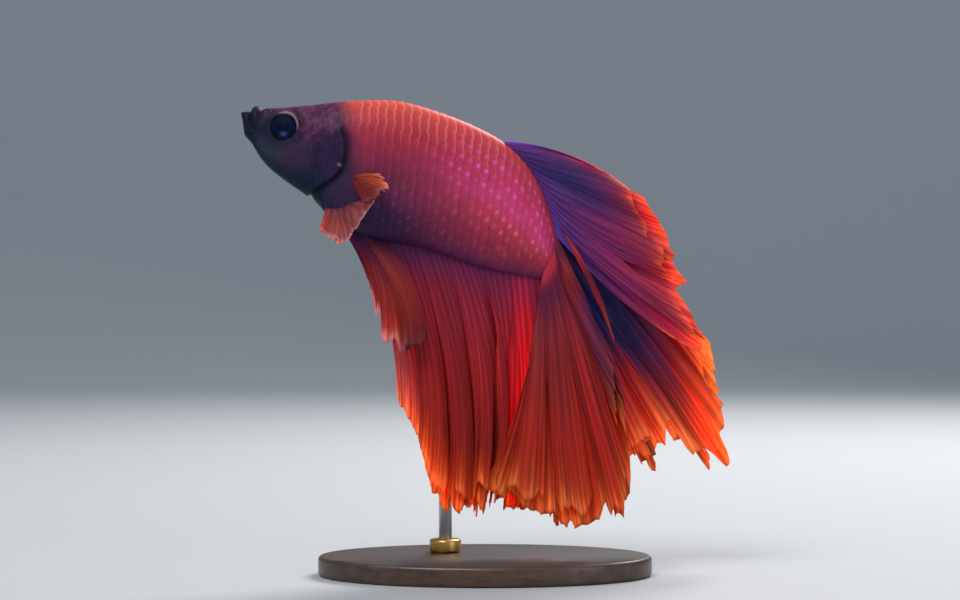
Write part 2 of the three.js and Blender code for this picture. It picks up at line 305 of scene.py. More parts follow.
def section(along, angle, grow=-COAT_DEPTH):
    """Side and up of the body's surface. Angle 0 is the back, pi the belly, and below 0 the left side."""
    back, belly, half = between(BODY_PROFILE, along).T
    from_snout = np.clip((along + grow) / SNOUT_ROUND, 0, 1)
    from_tail = np.clip((BODY_LENGTH + grow - along) / TAIL_ROUND, 0, 1)
    closing = np.sqrt(1 - (1 - from_snout) ** 2) * np.sqrt(1 - (1 - from_tail) ** 2)
    wave = np.sin(angle)
    side = (half + grow) * closing * np.sign(wave) * np.abs(wave) ** SECTION_FULLNESS
    up = (back + belly) / 2 + ((back - belly) / 2 + grow) * closing * np.cos(angle)
    return side, up


def surface_frame(along, angle, step=0.01):
    """A point of the smooth body surface, and the direction that stands straight out of it."""
    inner = np.clip(along, COAT_DEPTH + 2 * step, BODY_LENGTH - COAT_DEPTH - 2 * step)
    before, after = inner - step, inner + step
    tailwards = in_body(after, *section(after, angle)) - in_body(before, *section(before, angle))
    around = in_body(inner, *section(inner, angle + step)) - in_body(inner, *section(inner, angle - step))
    out = np.cross(tailwards, around)
    out /= np.linalg.norm(out, axis=1, keepdims=True) + 1e-12
    return in_body(along, *section(along, angle)), out


flank_point, flank_out = surface_frame(np.array([20.0]), np.array([-math.pi / 2]))
print("left flank 20 mm from the snout:", flank_point.round(2), "outwards", flank_out.round(2))

# %% [markdown]
# ## Meshes from grids
# Skin, scales and fins are all sheets that follow a formula. A sheet starts as a plain bmesh grid, whose
# corners say how far across and how far up they are. A formula then lays each corner in its place, and
# named attributes stay on the mesh to tell the materials where they are on the animal.
# %% Grid helpers
def read_corners(mesh):
    flat = np.empty(len(mesh.vertices) * 3, np.float32)
    mesh.vertices.foreach_get("co", flat)
    return flat.reshape(-1, 3).astype(float)


def grid_mesh(name, *sizes):
    """Grids in one mesh, with each corner's place across and up, from 0 to 1, and its grid's number."""
    shape = bmesh.new()
    number = []
    for i, (columns, rows) in enumerate(sizes):
        made = bmesh.ops.create_grid(shape, x_segments=columns, y_segments=rows, size=1)
        number += [i] * len(made["verts"])
    mesh = bpy.data.meshes.new(name)
    shape.to_mesh(mesh)
    shape.free()
    places = (read_corners(mesh) + 1) / 2
    return mesh, places[:, 0], places[:, 1], np.array(number)


def lay(mesh, points):
    mesh.vertices.foreach_set("co", (points * MM).astype(np.float32).ravel())
    mesh.update()


def mark(mesh, **values):
    """Keeps a number for each corner, under a name that a material can read."""
    for name, numbers in values.items():
        made = mesh.attributes.new(name, "FLOAT", "POINT")
        made.data.foreach_set("value", np.broadcast_to(numbers, len(mesh.vertices)).astype(np.float32))


def close_up(mesh, nearness=1e-4):
    """Welds the corners that meet at seams and poles, and turns every face outwards."""
    shape = bmesh.new()
    shape.from_mesh(mesh)
    bmesh.ops.remove_doubles(shape, verts=shape.verts, dist=nearness * MM)
    bmesh.ops.recalc_face_normals(shape, faces=shape.faces)
    shape.to_mesh(mesh)
    shape.free()


def piece(name, mesh, material, slot, *nodes):
    """Puts a finished mesh in the scene, riding on the model and standing for its plain nodes."""
    mesh.shade_smooth()
    mesh.materials.clear()
    mesh.materials.append(material)
    made = bpy.data.objects.new(name, mesh)
    bpy.context.collection.objects.link(made)
    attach(made, "root")
    if nodes:
        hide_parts(*nodes)
    print(name, len(mesh.polygons), "faces")
    return made


def ease(value, low, high):
    """0 below low, 1 above high, with a soft passage between. It falls where low is above high."""
    t = np.clip((value - low) / (high - low), 0, 1)
    return t * t * (3 - 2 * t)


def bump_at(distance, width):
    return np.exp(-((distance / width) ** 2))


def wander(place, cells, seed):
    """A smooth random line: a value from -1 to 1 for each place, with about one turn in each cell."""
    knots = np.random.default_rng(seed).uniform(-1, 1, cells + 2)
    spot = np.clip(place, 0, 1) * cells
    cell = np.minimum(spot.astype(int), cells)
    t = spot - cell
    t = t * t * (3 - 2 * t)
    return knots[cell] * (1 - t) + knots[cell + 1] * t


# %% [markdown]
# ## Relief of the head
# The fish has an upturned mouth with two thick lips, a full chin, nostrils before the eye, a raised rim
# round the eye, a grooved cheek and a broad gill cover whose rear edge stands off the shoulder. Most are
# ridges or grooves beside a short line drawn on the side of the head, so the relief is a sum of those.
# %% Lines of the head
EYE_PLACE = (7.14, 0.08)  # along the body and up
EYE_OPENING = 1.96
MOUTH = [(1.15, 2.6), (1.3, 0.4), (1.9, -0.9), (2.9, -2.1)]
JAW = [(3.1, -1.9), (3.7, -3.2), (4.9, -4.6), (6.6, -5.6)]
CHIN = (2.1, -3.3)
CHIN_HEIGHT, CHIN_WIDTH = 0.42, 1.15
UPPER_LIP = [(2.95, 2.4), (3.0, 0.9), (3.5, -0.6), (4.1, -1.9)]
CHEEK = [(10.2, 2.6), (10.3, 0.4), (10.1, -2.2), (11.0, -4.6), (12.6, -6.4)]
GILL_EDGE = [
    (14.2, 9.5),
    (14.2, 5.6),
    (15.3, 3.1),
    (16.5, 1.4),
    (17.4, -1.5),
    (17.0, -3.6),
    (15.4, -6.0),
    (14.2, -8.0),
    (13.8, -10.0),
]
GILL_CORNER = (17.15, -1.7)
CHEEK_SWELL = (8.4, -3.6)
GILL_FOLD = [(11.2, -6.6), (12.8, -6.9), (14.6, -5.4), (15.7, -3.4)]
NOSTRILS = [(3.7, 1.35), (4.5, 1.75)]
SOCKET_DEPTH = 1.3


def beside(line, along, up, steps=60):
    """How far each place is from a smooth line, on which side of it, and how far along it that is."""
    rows = [(i, *point) for i, point in enumerate(line)]
    share = np.linspace(0, 1, steps)
    curve = between(rows, share * (len(line) - 1))
    offsets = np.stack([along, up], axis=-1)[:, None] - curve[None]
    distances = np.hypot(offsets[..., 0], offsets[..., 1])
    nearest = distances.argmin(axis=1)
    heading = np.gradient(curve, axis=0)[nearest]
    offset = offsets[np.arange(len(along)), nearest]
    turned = heading[:, 0] * offset[:, 1] - heading[:, 1] * offset[:, 0]
    return distances.min(axis=1), np.sign(turned), share[nearest]


def relief(along, up):
    """How far the skin stands out of the smooth body in mm, how deep in a groove (painted as shade), and
    how pale (a painted highlight).
    """
    high, low = np.zeros_like(along), np.zeros_like(along)
    near, facing, share = beside(MOUTH, along, up)
    low += (0.55 - 0.3 * share) * bump_at(near, 0.18)
    upper_lip, lower_lip = 0.5 * bump_at(near - 0.85, 0.66), 0.12 * bump_at(near - 0.72, 0.52)
    high += np.where(facing > 0, upper_lip, lower_lip) * (1 - 0.6 * share)
    high -= 0.25 * ease(up, -0.8, 0.2) * (1 - ease(along, 0.95, 1.35))
    high += CHIN_HEIGHT * bump_at(np.hypot(along - CHIN[0], up - CHIN[1]), CHIN_WIDTH)
    near, _, share = beside(UPPER_LIP, along, up)
    low += 0.3 * bump_at(near, 0.28) * (1 - share)
    near, _, share = beside(JAW, along, up)
    low += 0.13 * bump_at(near, 0.16) * (1 - share)
    for place in NOSTRILS:
        near = np.hypot(along - place[0], up - place[1])
        low += 0.3 * bump_at(near, 0.16)
        high += 0.07 * bump_at(near - 0.3, 0.12)
    near, _, share = beside(CHEEK, along, up)
    low += 0.06 * bump_at(near, 0.22) * ease(share, 0, 0.2) * ease(1 - share, 0, 0.2)
    near, _, share = beside(GILL_FOLD, along, up)
    low += 0.09 * bump_at(near, 0.2) * ease(share, 0, 0.2)
    high += 0.14 * bump_at(np.hypot(along - CHEEK_SWELL[0], (up - CHEEK_SWELL[1]) * 0.8), 2.2)
    near, facing, _ = beside(GILL_EDGE, along, up)
    shown = ease(up, 4.2, 2.6)
    before = facing < 0
    high += np.where(before, 0.22 * np.exp(-near / 2.6), 0) * shown
    low += np.where(before, 0.0, 0.34 * (1 - ease(near, 0.1, 1.5))) * shown
    low += 0.16 * bump_at(near, 0.12) * shown
    from_eye = np.hypot(along - EYE_PLACE[0], up - EYE_PLACE[1])
    rising = np.arctan2(up - EYE_PLACE[1], along - EYE_PLACE[0])
    upper_rear = 0.5 + 0.5 * np.cos(rising - 1.3)
    high += (0.02 + 0.26 * upper_rear) * bump_at(from_eye - EYE_OPENING - 0.22, 0.24)
    low += (0.03 + 0.09 * upper_rear) * bump_at(from_eye - EYE_OPENING - 0.95, 0.3)
    socket = 1 - ease(from_eye, EYE_OPENING - 0.22, EYE_OPENING + 0.04)
    # painted highlight: a pale crescent on the rear upper rim of the eye, and a pale spot at the gill
    # corner
    pale = 0.8 * bump_at(from_eye - EYE_OPENING - 0.14, 0.15) * ease(upper_rear, 0.66, 0.95)
    pale += 0.5 * bump_at(np.hypot(along - GILL_CORNER[0], (up - GILL_CORNER[1]) * 1.6), 0.32)
    return (high - low) * (1 - socket) - SOCKET_DEPTH * socket, np.clip(low / 0.3, 0, 1), pale


heights, _, _ = relief(np.linspace(1, 17, 200), np.full(200, 0.4))
print("relief from the mouth to the gill edge, mm:", heights.min().round(2), heights.max().round(2))

# %% [markdown]
# ## Skin
# One skin covers head, jaw, gill covers, trunk and tail stalk without a seam. It is a grid rolled into a
# closed tube on the body surface. Its rings stand closest on the head, where the relief is finest.
# %% Skin
SKIN_AROUND = 256
SKIN_RINGS = 236
RING_SHARES = [0, 0.02, 0.07, 0.64, 0.96, 0.985, 1]
RING_PLACES = [0, 0.05, 0.6, 18, 52.8, 53.5, BODY_LENGTH]
HEAD_ENDS = 21

skin_mesh, around, ring, _ = grid_mesh("skin", (SKIN_AROUND, SKIN_RINGS))
angle = (2 * around - 1) * math.pi
along = np.interp(ring, RING_SHARES, RING_PLACES)
along = COAT_DEPTH + along * (BODY_LENGTH - 2 * COAT_DEPTH) / BODY_LENGTH
_, up = section(along, angle)
skin_points, outwards = surface_frame(along, angle)
raised, hollow, pale = np.zeros((3, len(along)))
head = along < HEAD_ENDS
raised[head], hollow[head], pale[head] = relief(along[head], up[head])
raised *= ease(along, 0.1, 0.5)
lay(skin_mesh, skin_points + outwards * raised[:, None])
mark(skin_mesh, along=along / BODY_LENGTH, height=(1 + np.cos(angle)) / 2, hollow=hollow, pale=pale)
close_up(skin_mesh)
head_rings = (RING_SHARES[3] - RING_SHARES[2]) * SKIN_RINGS
print("skin rings are", round((RING_PLACES[3] - RING_PLACES[2]) / head_rings, 3), "mm apart on the head")

# %% [markdown]
# ## Colours of the body
# The markings belong to the fish and not to one mesh: a dark navy head with a slate cheek, a plum nape,
# an orange-red back that deepens to crimson and to navy at the belly, partly as painted shade, with a
# painted shadow under the belly, and a raspberry flank towards the tail. Skin and scales read the same
# two attributes, so one recipe colours both.
# %% Body colours
# These three ramps run from the belly (0) to the back (1). They hold the fish's own colours, and part of
# their darkening towards the belly is painted shade from the light above.
SHOULDER_COLOURS = [
    (0, "#1c1a34"), (0.14, "#2c1d40"), (0.3, "#5a284c"), (0.45, "#6c2842"), (0.6, "#882a42"),
    (0.76, "#a42e3e"), (0.88, "#ba3a40"), (0.97, "#cc4c3e"),
]
FLANK_COLOURS = [
    (0, "#6a2c5c"), (0.1, "#86304e"), (0.26, "#a43048"), (0.42, "#c43c54"), (0.58, "#d84478"),
    (0.74, "#cc3868"), (0.88, "#bc3650"), (0.97, "#c0404a"),
]
HEAD_COLOURS = [
    (0, "#0d2032"), (0.2, "#162236"), (0.38, "#1e1e38"), (0.6, "#1a1a3a"), (0.78, "#2a1f3e"),
    (0.92, "#4e2848"), (1, "#5e3050"),
]


FACE_SPOTS = [  # centre and size as shares of length and height, strength, tint
    ((0.12, 0.32), (0.08, 0.28), 0.75, "#3a3c48"),  # cheek
    ((0.19, 0.34), (0.07, 0.3), 0.7, "#3e2a42"),  # jowl
    ((0.1, 0.58), (0.1, 0.44), 0.85, "#10162c"),  # round the eye
    ((0.215, 0.78), (0.085, 0.3), 0.7, "#5c2448"),  # temple
    ((0.27, 0.42), (0.06, 0.3), 0.6, "#33203f"),  # gill cover
]


def oval(tree, across, over, full=0):
    """1 in the middle of an oval and 0 outside it, from two distances as shares of its half widths."""
    squares = [times(tree, part, part) for part in (across, over)]
    return step_up(tree, plus(tree, *squares), 1, full)


def soft_spot(tree, along, height, centre, size):
    """1 at a place on the body and 0 outside an oval round it. The place and size are shares."""
    across = maths(tree, "DIVIDE", minus(tree, along, centre[0]), size[0])
    over = maths(tree, "DIVIDE", minus(tree, height, centre[1]), size[1])
    return oval(tree, across, over)


def body_colour(tree):
    """The colour of the animal at a corner, whatever mesh carries it."""
    along, height = attribute(tree, "along"), attribute(tree, "height")
    place = object_place(tree)
    drift = times(tree, minus(tree, noise(tree, place, 260, 3), 0.5), 0.12)
    level = plus(tree, height, drift)
    rearwards = step_up(tree, along, 0.42, 0.82)
    trunk = blend(tree, rearwards, ramp(tree, level, SHOULDER_COLOURS), ramp(tree, level, FLANK_COLOURS))
    # painted shadow under the belly: a dark plum oval low on the mid body
    belly = soft_spot(tree, along, height, (0.42, 0), (0.2, 0.36))
    trunk = tinted(tree, trunk, belly, 0.8, "#382344")
    face = ramp(tree, level, HEAD_COLOURS)
    for centre, size, strength, tint in FACE_SPOTS:
        face = tinted(tree, face, soft_spot(tree, along, height, centre, size), strength, tint)
    lips = step_up(tree, along, 0.088, 0.05)
    face = tinted(tree, face, lips, 0.8, "#121626")
    mottle = noise(tree, place, 1300, 3)
    nape = soft_spot(tree, along, height, (0.2, 0.94), (0.17, 0.6))
    dark_mottles = times(tree, step_up(tree, mottle, 0.5, 0.62), nape)
    face = tinted(tree, face, dark_mottles, 0.75, "#26162e")
    rosy_mottles = times(tree, step_up(tree, mottle, 0.46, 0.34), nape)
    face = tinted(tree, face, rosy_mottles, 0.45, "#7c3a58")
    crest = times(tree, minus(tree, 1, height), -0.16)
    border = plus(tree, plus(tree, along, crest), times(tree, drift, 0.3))
    colour = blend(tree, step_up(tree, border, 0.222, 0.292), face, trunk)
    breast = soft_spot(tree, along, height, (0.35, 0.22), (0.07, 0.26))
    colour = tinted(tree, colour, breast, 0.6, "#43284a")
    stalk = step_up(tree, along, 0.94, 0.99)
    colour = tinted(tree, colour, stalk, 0.75, "#3c2048")
    grain = plus(tree, 0.82, times(tree, noise(tree, place, 900, 3), 0.36))
    return blend_times(tree, colour, grain), along, height, place


# %% [markdown]
# ## Skin material
# Wet skin has a thin clear coat of slime. We give the skin a soft gloss and a fine pitted bump, paint shade
# into the grooves, and paint a pale highlight on the rear upper rim of the eye and at the gill corner.
# %% Skin material
def end_flesh(tree, colour, bump, roughness, coat_roughness):
    """Ends the material of skin or scales, with the soft gloss that both have."""
    sockets = {"Base Color": colour, "Roughness": roughness, "Specular IOR Level": 0.08, "Normal": bump}
    sockets.update({"Coat Weight": 0.02, "Coat Roughness": coat_roughness})
    end_material(tree, node(tree, "BsdfPrincipled", sockets).outputs[0])


skin_material, tree = new_material("fish_skin")
colour, _, _, place = body_colour(tree)
# painted shade darkens the grooves, and a painted pale highlight lies on the eye rim and the gill corner
colour = tinted(tree, colour, attribute(tree, "hollow"), 0.75, "#10101e")
colour = blend(tree, attribute(tree, "pale"), colour, "#b08490")
end_flesh(tree, colour, bumps(tree, noise(tree, place, 2600, 3), 0.25), 0.54, 0.3)
piece("skin", skin_mesh, skin_material, "flesh", "head", "lower_jaw", "gill_cover_left",
      "gill_cover_right", "trunk", "tail_stalk")

# %% [markdown]
# ## Eyes
# A fish eye shows as a shallow dark dome in its socket. We flatten a ball, turn it to face out of the
# head, and paint pupil, iris and rim as rings by the distance from its middle, and a bluish glint low in
# the pupil as a painted reflection.
# %% Eyes
EYE_RADIUS = 2.2
EYE_BULGE = 1.15
EYE_SUNK = 0.5
PUPIL_RADIUS = 1.12
IRIS_RADIUS = 1.9
# the painted reflection in the eye: the glint's place, width and stretch
GLINT_PLACE = (0.2, -1.22)  # to the rear of the middle, and up
GLINT_WIDTH, GLINT_STRETCH = 0.3, 0.7

eye_material, tree = new_material("fish_eye")
ring_place = attribute(tree, "ring")
rings = ramp(
    tree,
    ring_place,
    [
        (0, "#080e22"),
        (PUPIL_RADIUS / EYE_RADIUS - 0.05, "#090f28"),
        (PUPIL_RADIUS / EYE_RADIUS + 0.04, "#0d1836"),
        (PUPIL_RADIUS / EYE_RADIUS + 0.12, "#0b1430"),
        (0.8, "#0a1026"),
        (IRIS_RADIUS / EYE_RADIUS, "#120f1c"),
        (1, "#20151f"),
    ],
)
speckle = noise(tree, object_place(tree), 2500, 3)
iris = tinted(tree, rings, step_up(tree, speckle, 0.5, 0.75), 0.4, "#101c3c")
iris = blend(tree, step_up(tree, ring_place, 0.48, 0.54), rings, iris)
# a painted reflection: a bluish glint low in the pupil
low_glint = tinted(tree, iris, attribute(tree, "sheen"), 0.55, "#4468b0")
eye_sockets = {"Base Color": low_glint, "Roughness": 0.42, "Specular IOR Level": 0.02}
end_material(tree, node(tree, "BsdfPrincipled", eye_sockets).outputs[0])

for side, word in SIDES:
    name = "eye_" + word
    ball, turn_share, fall_share, _ = grid_mesh(name, (72, 40))
    turn, fall = turn_share * 2 * math.pi, fall_share * math.pi
    across = EYE_RADIUS * np.sin(fall)
    local = np.stack([across * np.cos(turn), across * np.sin(turn), EYE_BULGE * np.cos(fall)], axis=-1)
    back, belly, _ = between(BODY_PROFILE, np.array([EYE_PLACE[0]]))[0]
    lift = (EYE_PLACE[1] - (back + belly) / 2) / ((back - belly) / 2)
    seat, facing = surface_frame(np.array([EYE_PLACE[0]]), np.array([side * math.acos(lift)]))
    facing = facing[0] / np.linalg.norm(facing[0])
    forward = np.cross((0, 0, 1), facing)
    forward /= np.linalg.norm(forward)
    upward = np.cross(facing, forward)
    middle = seat[0] - facing * EYE_SUNK
    lay(ball, middle + local @ np.stack([forward, upward, facing]))
    aside = (local[:, 0] + side * GLINT_PLACE[0]) * GLINT_STRETCH
    glint = bump_at(np.hypot(aside, local[:, 1] - GLINT_PLACE[1]), GLINT_WIDTH)
    mark(ball, ring=across / EYE_RADIUS, sheen=glint)
    close_up(ball)
    piece(name, ball, eye_material, "eye", name)

# %% [markdown]
# ## Scales
# The scales lie like shingles: each is rooted in the skin at its front and lifts a little at its rounded
# rear edge, over the roots of the next ones. They stand in columns whose edges make scalloped lines from
# the back to the belly, and the columns lean as the fish does. One small closed scale is modelled, an
# Array makes as many copies as are needed, and each copy is then laid on the body at its own place.
# %% Rows of scales
SCALE_SEGMENTS = 6
SCALE_THICKNESS = 0.036
BODY_SCALES = dict(pitch=1.36, row=1.95, length=2.4, lift=0.075, start=13.6, end=51.8)
BODY_SCALES.update(lean=0.3, stagger=0.1, half_width=0.6, roundness=0.14, tones=1)
FACE_SCALES = dict(pitch=0.78, row=0.92, length=1.4, lift=0.075, start=9.2, end=16.4)
FACE_SCALES.update(lean=0, stagger=0.5, half_width=0.92, roundness=0.45, tones=3)
ROW_TAPER = [(9, 0.9), (14, 0.8), (20, 0.84), (28, 1), (42, 1), (52, 0.76)]
UPRIGHT_AT = 6
MOST_ROWS = 44
COLUMNS_BEFORE, COLUMNS_AFTER = 6, 4  # mm beyond the scaly part, because columns lean into it
ARC_STEP = 0.3
SCALE_TILT = 0.012
EYE_CLEARANCE = 3.4
SHARP_ANGLE = math.radians(50)
BAKE_PATCH = 0.003


def half_girth(along, steps=160):
    """The arc from the back to the belly at each place, as a table of angle against distance."""
    angles = np.linspace(0, math.pi, steps)
    grid_along = np.repeat(along, steps)
    grid_angles = np.tile(angles, len(along))
    points = in_body(grid_along, *section(grid_along, grid_angles)).reshape(len(along), steps, 3)
    walked = np.linalg.norm(np.diff(points, axis=1), axis=2).cumsum(axis=1)
    return angles, np.concatenate([np.zeros((len(along), 1)), walked], axis=1)


def bare(kind, along, up):
    """Where this kind of scale doesn't grow. Face scales stop at the gill edge, where body scales start."""
    root_side = beside(GILL_EDGE, along, up)
    tip_side = beside(GILL_EDGE, along + kind["length"] * 0.9, up)
    if kind is BODY_SCALES:
        return (root_side[1] < 0) | ((root_side[0] < 0.55) & (up < 3))
    from_eye = np.hypot(along - EYE_PLACE[0], up - EYE_PLACE[1])
    snout = (from_eye < EYE_CLEARANCE) | (along < 10.6 - 0.3 * up) | (up < -5.2)
    crosses = ((tip_side[1] > 0) | (tip_side[0] < 0.15)) & (up < 3.4)
    return (root_side[1] > 0) | snout | crosses


def scale_places(kind):
    """The root of every scale of one side: along the body, angle, row width and turn of the arc."""
    found = []
    columns = [kind["start"] - COLUMNS_BEFORE]
    while columns[-1] < kind["end"] + COLUMNS_AFTER:
        columns.append(columns[-1] + kind["pitch"] * between(ROW_TAPER, np.array([columns[-1]]))[0, 0])
    columns = np.array(columns)
    width = kind["row"] * between(ROW_TAPER, columns)[:, 0]
    for row in range(MOST_ROWS):
        distance = (row + 0.5) * width
        shift = kind["stagger"] * kind["pitch"] * (row % 2)
        along = columns + kind["lean"] * (distance - UPRIGHT_AT) + shift
        angles, walked = half_girth(along)
        for i in np.flatnonzero((along > kind["start"]) & (along < kind["end"])):
            if distance[i] < walked[i, -1] - 0.2 * width[i]:
                angle = np.interp(distance[i], walked[i], angles)
                further = np.interp(distance[i] + ARC_STEP, walked[i], angles) - angle
                found.append((along[i], angle, width[i], further / ARC_STEP))
    places = np.array(found)
    _, up = section(places[:, 0], places[:, 1])
    return places[~bare(kind, places[:, 0], up)]


for kind, word in ((BODY_SCALES, "body"), (FACE_SCALES, "face")):
    kind["places"] = scale_places(kind)
    print(word, "scales on each side:", len(kind["places"]), "in rows", kind["row"], "mm apart")


# %% One scale, and an array of it
def array_of(template, name, count):
    """Joins count copies of a mesh with an Array modifier, and tells each corner its copy's number."""
    spread = 10
    maker = bpy.data.objects.new(name, template)
    bpy.context.collection.objects.link(maker)
    copies = maker.modifiers.new("copies", "ARRAY")
    copies.count = count
    copies.use_relative_offset = False
    copies.use_constant_offset = True
    copies.constant_offset_displace = (spread, 0, 0)
    seen = maker.evaluated_get(bpy.context.evaluated_depsgraph_get())
    mesh = bpy.data.meshes.new_from_object(seen)
    mesh.name = name
    bpy.data.objects.remove(maker)
    corners = read_corners(mesh)
    number = np.rint(corners[:, 0] / spread).astype(int)
    corners[:, 0] -= number * spread
    return mesh, corners, number


def scale_template():
    """A closed plate, one unit wide and long: x runs from root to free edge, y across, z is height."""
    shape = bmesh.new()
    bmesh.ops.create_grid(shape, x_segments=SCALE_SEGMENTS, y_segments=SCALE_SEGMENTS, size=1)
    bmesh.ops.recalc_face_normals(shape, faces=shape.faces)
    bmesh.ops.solidify(shape, geom=shape.faces[:], thickness=1)
    template = bpy.data.meshes.new("one_scale")
    shape.to_mesh(template)
    shape.free()
    return template


def lay_scales(name, kind, side, seed):
    places = kind["places"]
    mesh, corners, number = array_of(scale_template(), name, len(places))
    random = np.random.default_rng(seed)
    tone = (0.5 + kind["tones"] * random.uniform(-0.5, 0.5, len(places)))[number]
    twist = random.normal(0, 0.02, len(places))[number]
    lift = (kind["lift"] * random.uniform(0.9, 1.08, len(places)))[number]
    root, angle, width, per_mm = places[number].T
    lengthwise = 1 - (0.5 - corners[:, 0] / 2) ** 1.4
    crosswise = np.sin(corners[:, 1] * math.pi / 2)
    depth = (corners[:, 2] - corners[:, 2].max()) / np.ptp(corners[:, 2])
    back_edge = 1 - kind["roundness"] * (1 - np.sqrt(np.clip(1 - crosswise**2, 0, 1)))
    reach = lengthwise * back_edge
    size = width / kind["row"]
    spread = crosswise * width * kind["half_width"] * (1 - 0.2 * (1 - lengthwise) ** 2)
    along = root + (reach + twist * crosswise) * kind["length"] * size + kind["lean"] * spread
    turned = side * (angle + spread * per_mm)
    foot, out = surface_frame(along, turned)
    dome = 0.12 * kind["lift"] * (1 - crosswise**2) - SCALE_TILT * crosswise
    buried = 0.012 + 0.05 * (1 - lengthwise) ** 2
    height = (lift * reach + dome) * size - buried + depth * SCALE_THICKNESS
    _, up = section(along, turned)
    near_head = along < HEAD_ENDS
    height[near_head] += relief(along[near_head], up[near_head])[0]
    lay(mesh, foot + out * height[:, None])
    mark(mesh, along=along / BODY_LENGTH, height=(1 + np.cos(turned)) / 2, tone=tone,
         scale_y=crosswise, plate=lengthwise)
    mesh.set_sharp_from_angle(angle=SHARP_ANGLE)
    patch = mesh.uv_layers.new(name="OFBake")
    loop_corner = np.empty(len(mesh.loops), np.int32)
    mesh.loops.foreach_get("vertex_index", loop_corner)
    home = np.stack([root / BODY_LENGTH, 0.5 + side * angle / (2 * math.pi)], axis=-1)
    local = np.stack([reach - 0.5, crosswise / 2], axis=-1) * BAKE_PATCH
    patch.data.foreach_set("uv", (home + local)[loop_corner].astype(np.float32).ravel())
    return mesh


# %% Scale material
scale_material, tree = new_material("fish_scales")
colour, along_socket, height_socket, place = body_colour(tree)
plate, crosswise = attribute(tree, "plate"), attribute(tree, "scale_y")
tone = attribute(tree, "tone")
colour = blend_times(tree, colour, plus(tree, 0.93, times(tree, tone, 0.14)))
edge = step_up(tree, plate, 0.76, 0.95)
# painted shade on the front of each scale, where it lies under the scale before it
under = step_up(tree, plate, 0.62, 0.4)
colour = tinted(tree, colour, under, 0.1, "#30152e")
on_back = times(tree, step_up(tree, height_socket, 0.64, 0.95), step_up(tree, along_socket, 0.26, 0.32))
on_back = times(tree, on_back, step_up(tree, along_socket, 0.86, 0.6))
colour = tinted(tree, colour, times(tree, edge, on_back), 0.4, "#e88a78")
on_flank = times(tree, step_up(tree, along_socket, 0.3, 0.42), step_up(tree, height_socket, 0.2, 0.4))
colour = tinted(tree, colour, times(tree, edge, on_flank), 0.07, "#cc6880")


def fleck(tree, plate, crosswise, centre, size, slant):
    """A soft oval fleck on each scale, whose upper end leans to the tail."""
    leaning = plus(tree, plate, times(tree, crosswise, slant))
    lengthwise = maths(tree, "DIVIDE", minus(tree, leaning, centre), size[0])
    return oval(tree, lengthwise, maths(tree, "DIVIDE", crosswise, size[1]), 0.1)


# painted sheen: violet flecks on the scales of the upper rear flank, stronger on some scales than others
violet_zone = soft_spot(tree, along_socket, height_socket, (0.82, 0.72), (0.34, 0.32))
violet = times(tree, fleck(tree, plate, crosswise, 0.82, (0.17, 0.38), 0.12), violet_zone)
flash = plus(tree, 0.2, times(tree, tone, 0.8))
colour = tinted(tree, colour, violet, flash, "#e060ae")
# painted highlights: salmon flecks on the scales of the lower rear flank
salmon_zone = soft_spot(tree, along_socket, height_socket, (0.87, 0.42), (0.19, 0.18))
faint_zone = soft_spot(tree, along_socket, height_socket, (0.7, 0.3), (0.36, 0.3))
salmon_zone = plus(tree, salmon_zone, times(tree, faint_zone, 0.3))
salmon = times(tree, fleck(tree, plate, crosswise, 0.8, (0.13, 0.5), 0.22), salmon_zone)
colour = tinted(tree, colour, times(tree, salmon, flash), 0.6, "#ea7886")
end_flesh(tree, colour, bumps(tree, noise(tree, place, 1900, 2), 0.2), 0.46, 0.25)
for side, word in SIDES:
    for kind, part, seed in ((BODY_SCALES, "body_scales_", 3), (FACE_SCALES, "face_scales_", 5)):
        name = part + word
        piece(name, lay_scales(name, kind, side, seed + side), scale_material, "flesh")

# %% [markdown]
# ## Fins
# A fin is a membrane on a fan of bony rays. Each ray leaves the root at an angle and bends in an arc, so a
# few rays with their angle, bend and length draw the whole fin, and the rays between them are blended.
# The sheet is then gathered into folds that lean over each other, ribbed along its rays, which fork
# twice, and cut ragged at its edge. A Solidify modifier gives it its thin body.
# %% Rays: share of the root, lean and curl in degrees, reach, and where the tip stands across the model
DORSAL_RAYS = [
    (0, 0, -34, 18.8, 1.2),
    (0.2, -17, -9, 23, 0.8),
    (0.4, -33, 13, 24.9, 1.2),
    (0.54, -40, 17, 26.1, 1.2),
    (0.6, -43, 20, 28.4, 1.2),
    (0.74, -46, 17, 29.4, 1),
    (0.82, -47.5, 15, 31.6, 0.8),
    (0.92, -46, 8, 29.6, 0.2),
    (1, -50, 15, 22, -0.4),
]
UPPER_CAUDAL_RAYS = [
    (0, -20, -37, 29.6, 9.5),
    (0.1, -29, -21, 32.5, 10),
    (0.2, -35, -19, 36.5, 10.6),
    (0.3, -40, -12, 38, 10.6),
    (0.38, -44, -10.5, 41.8, 10.6),
    (0.41, -45.5, -10.5, 41.8, 10.6),
    (0.44, -47, -9.5, 44.6, 10.6),
    (0.485, -50, -7, 46.2, 10.6),
    (0.52, -53, -4, 42.6, 10.4),
    (0.55, -54, -5.5, 44.8, 10.2),
    (0.59, -57, -3, 41.6, 10),
    (0.64, -59, 2.5, 34.8, 9.8),
    (0.7, -62, 3, 36.6, 9.2),
    (0.76, -66, 7, 36, 8.8),
    (0.8, -67, 2.5, 38.6, 8.4),
    (0.86, -68, 5, 36, 8),
    (1, -73, 6, 33.4, 7.4),
]
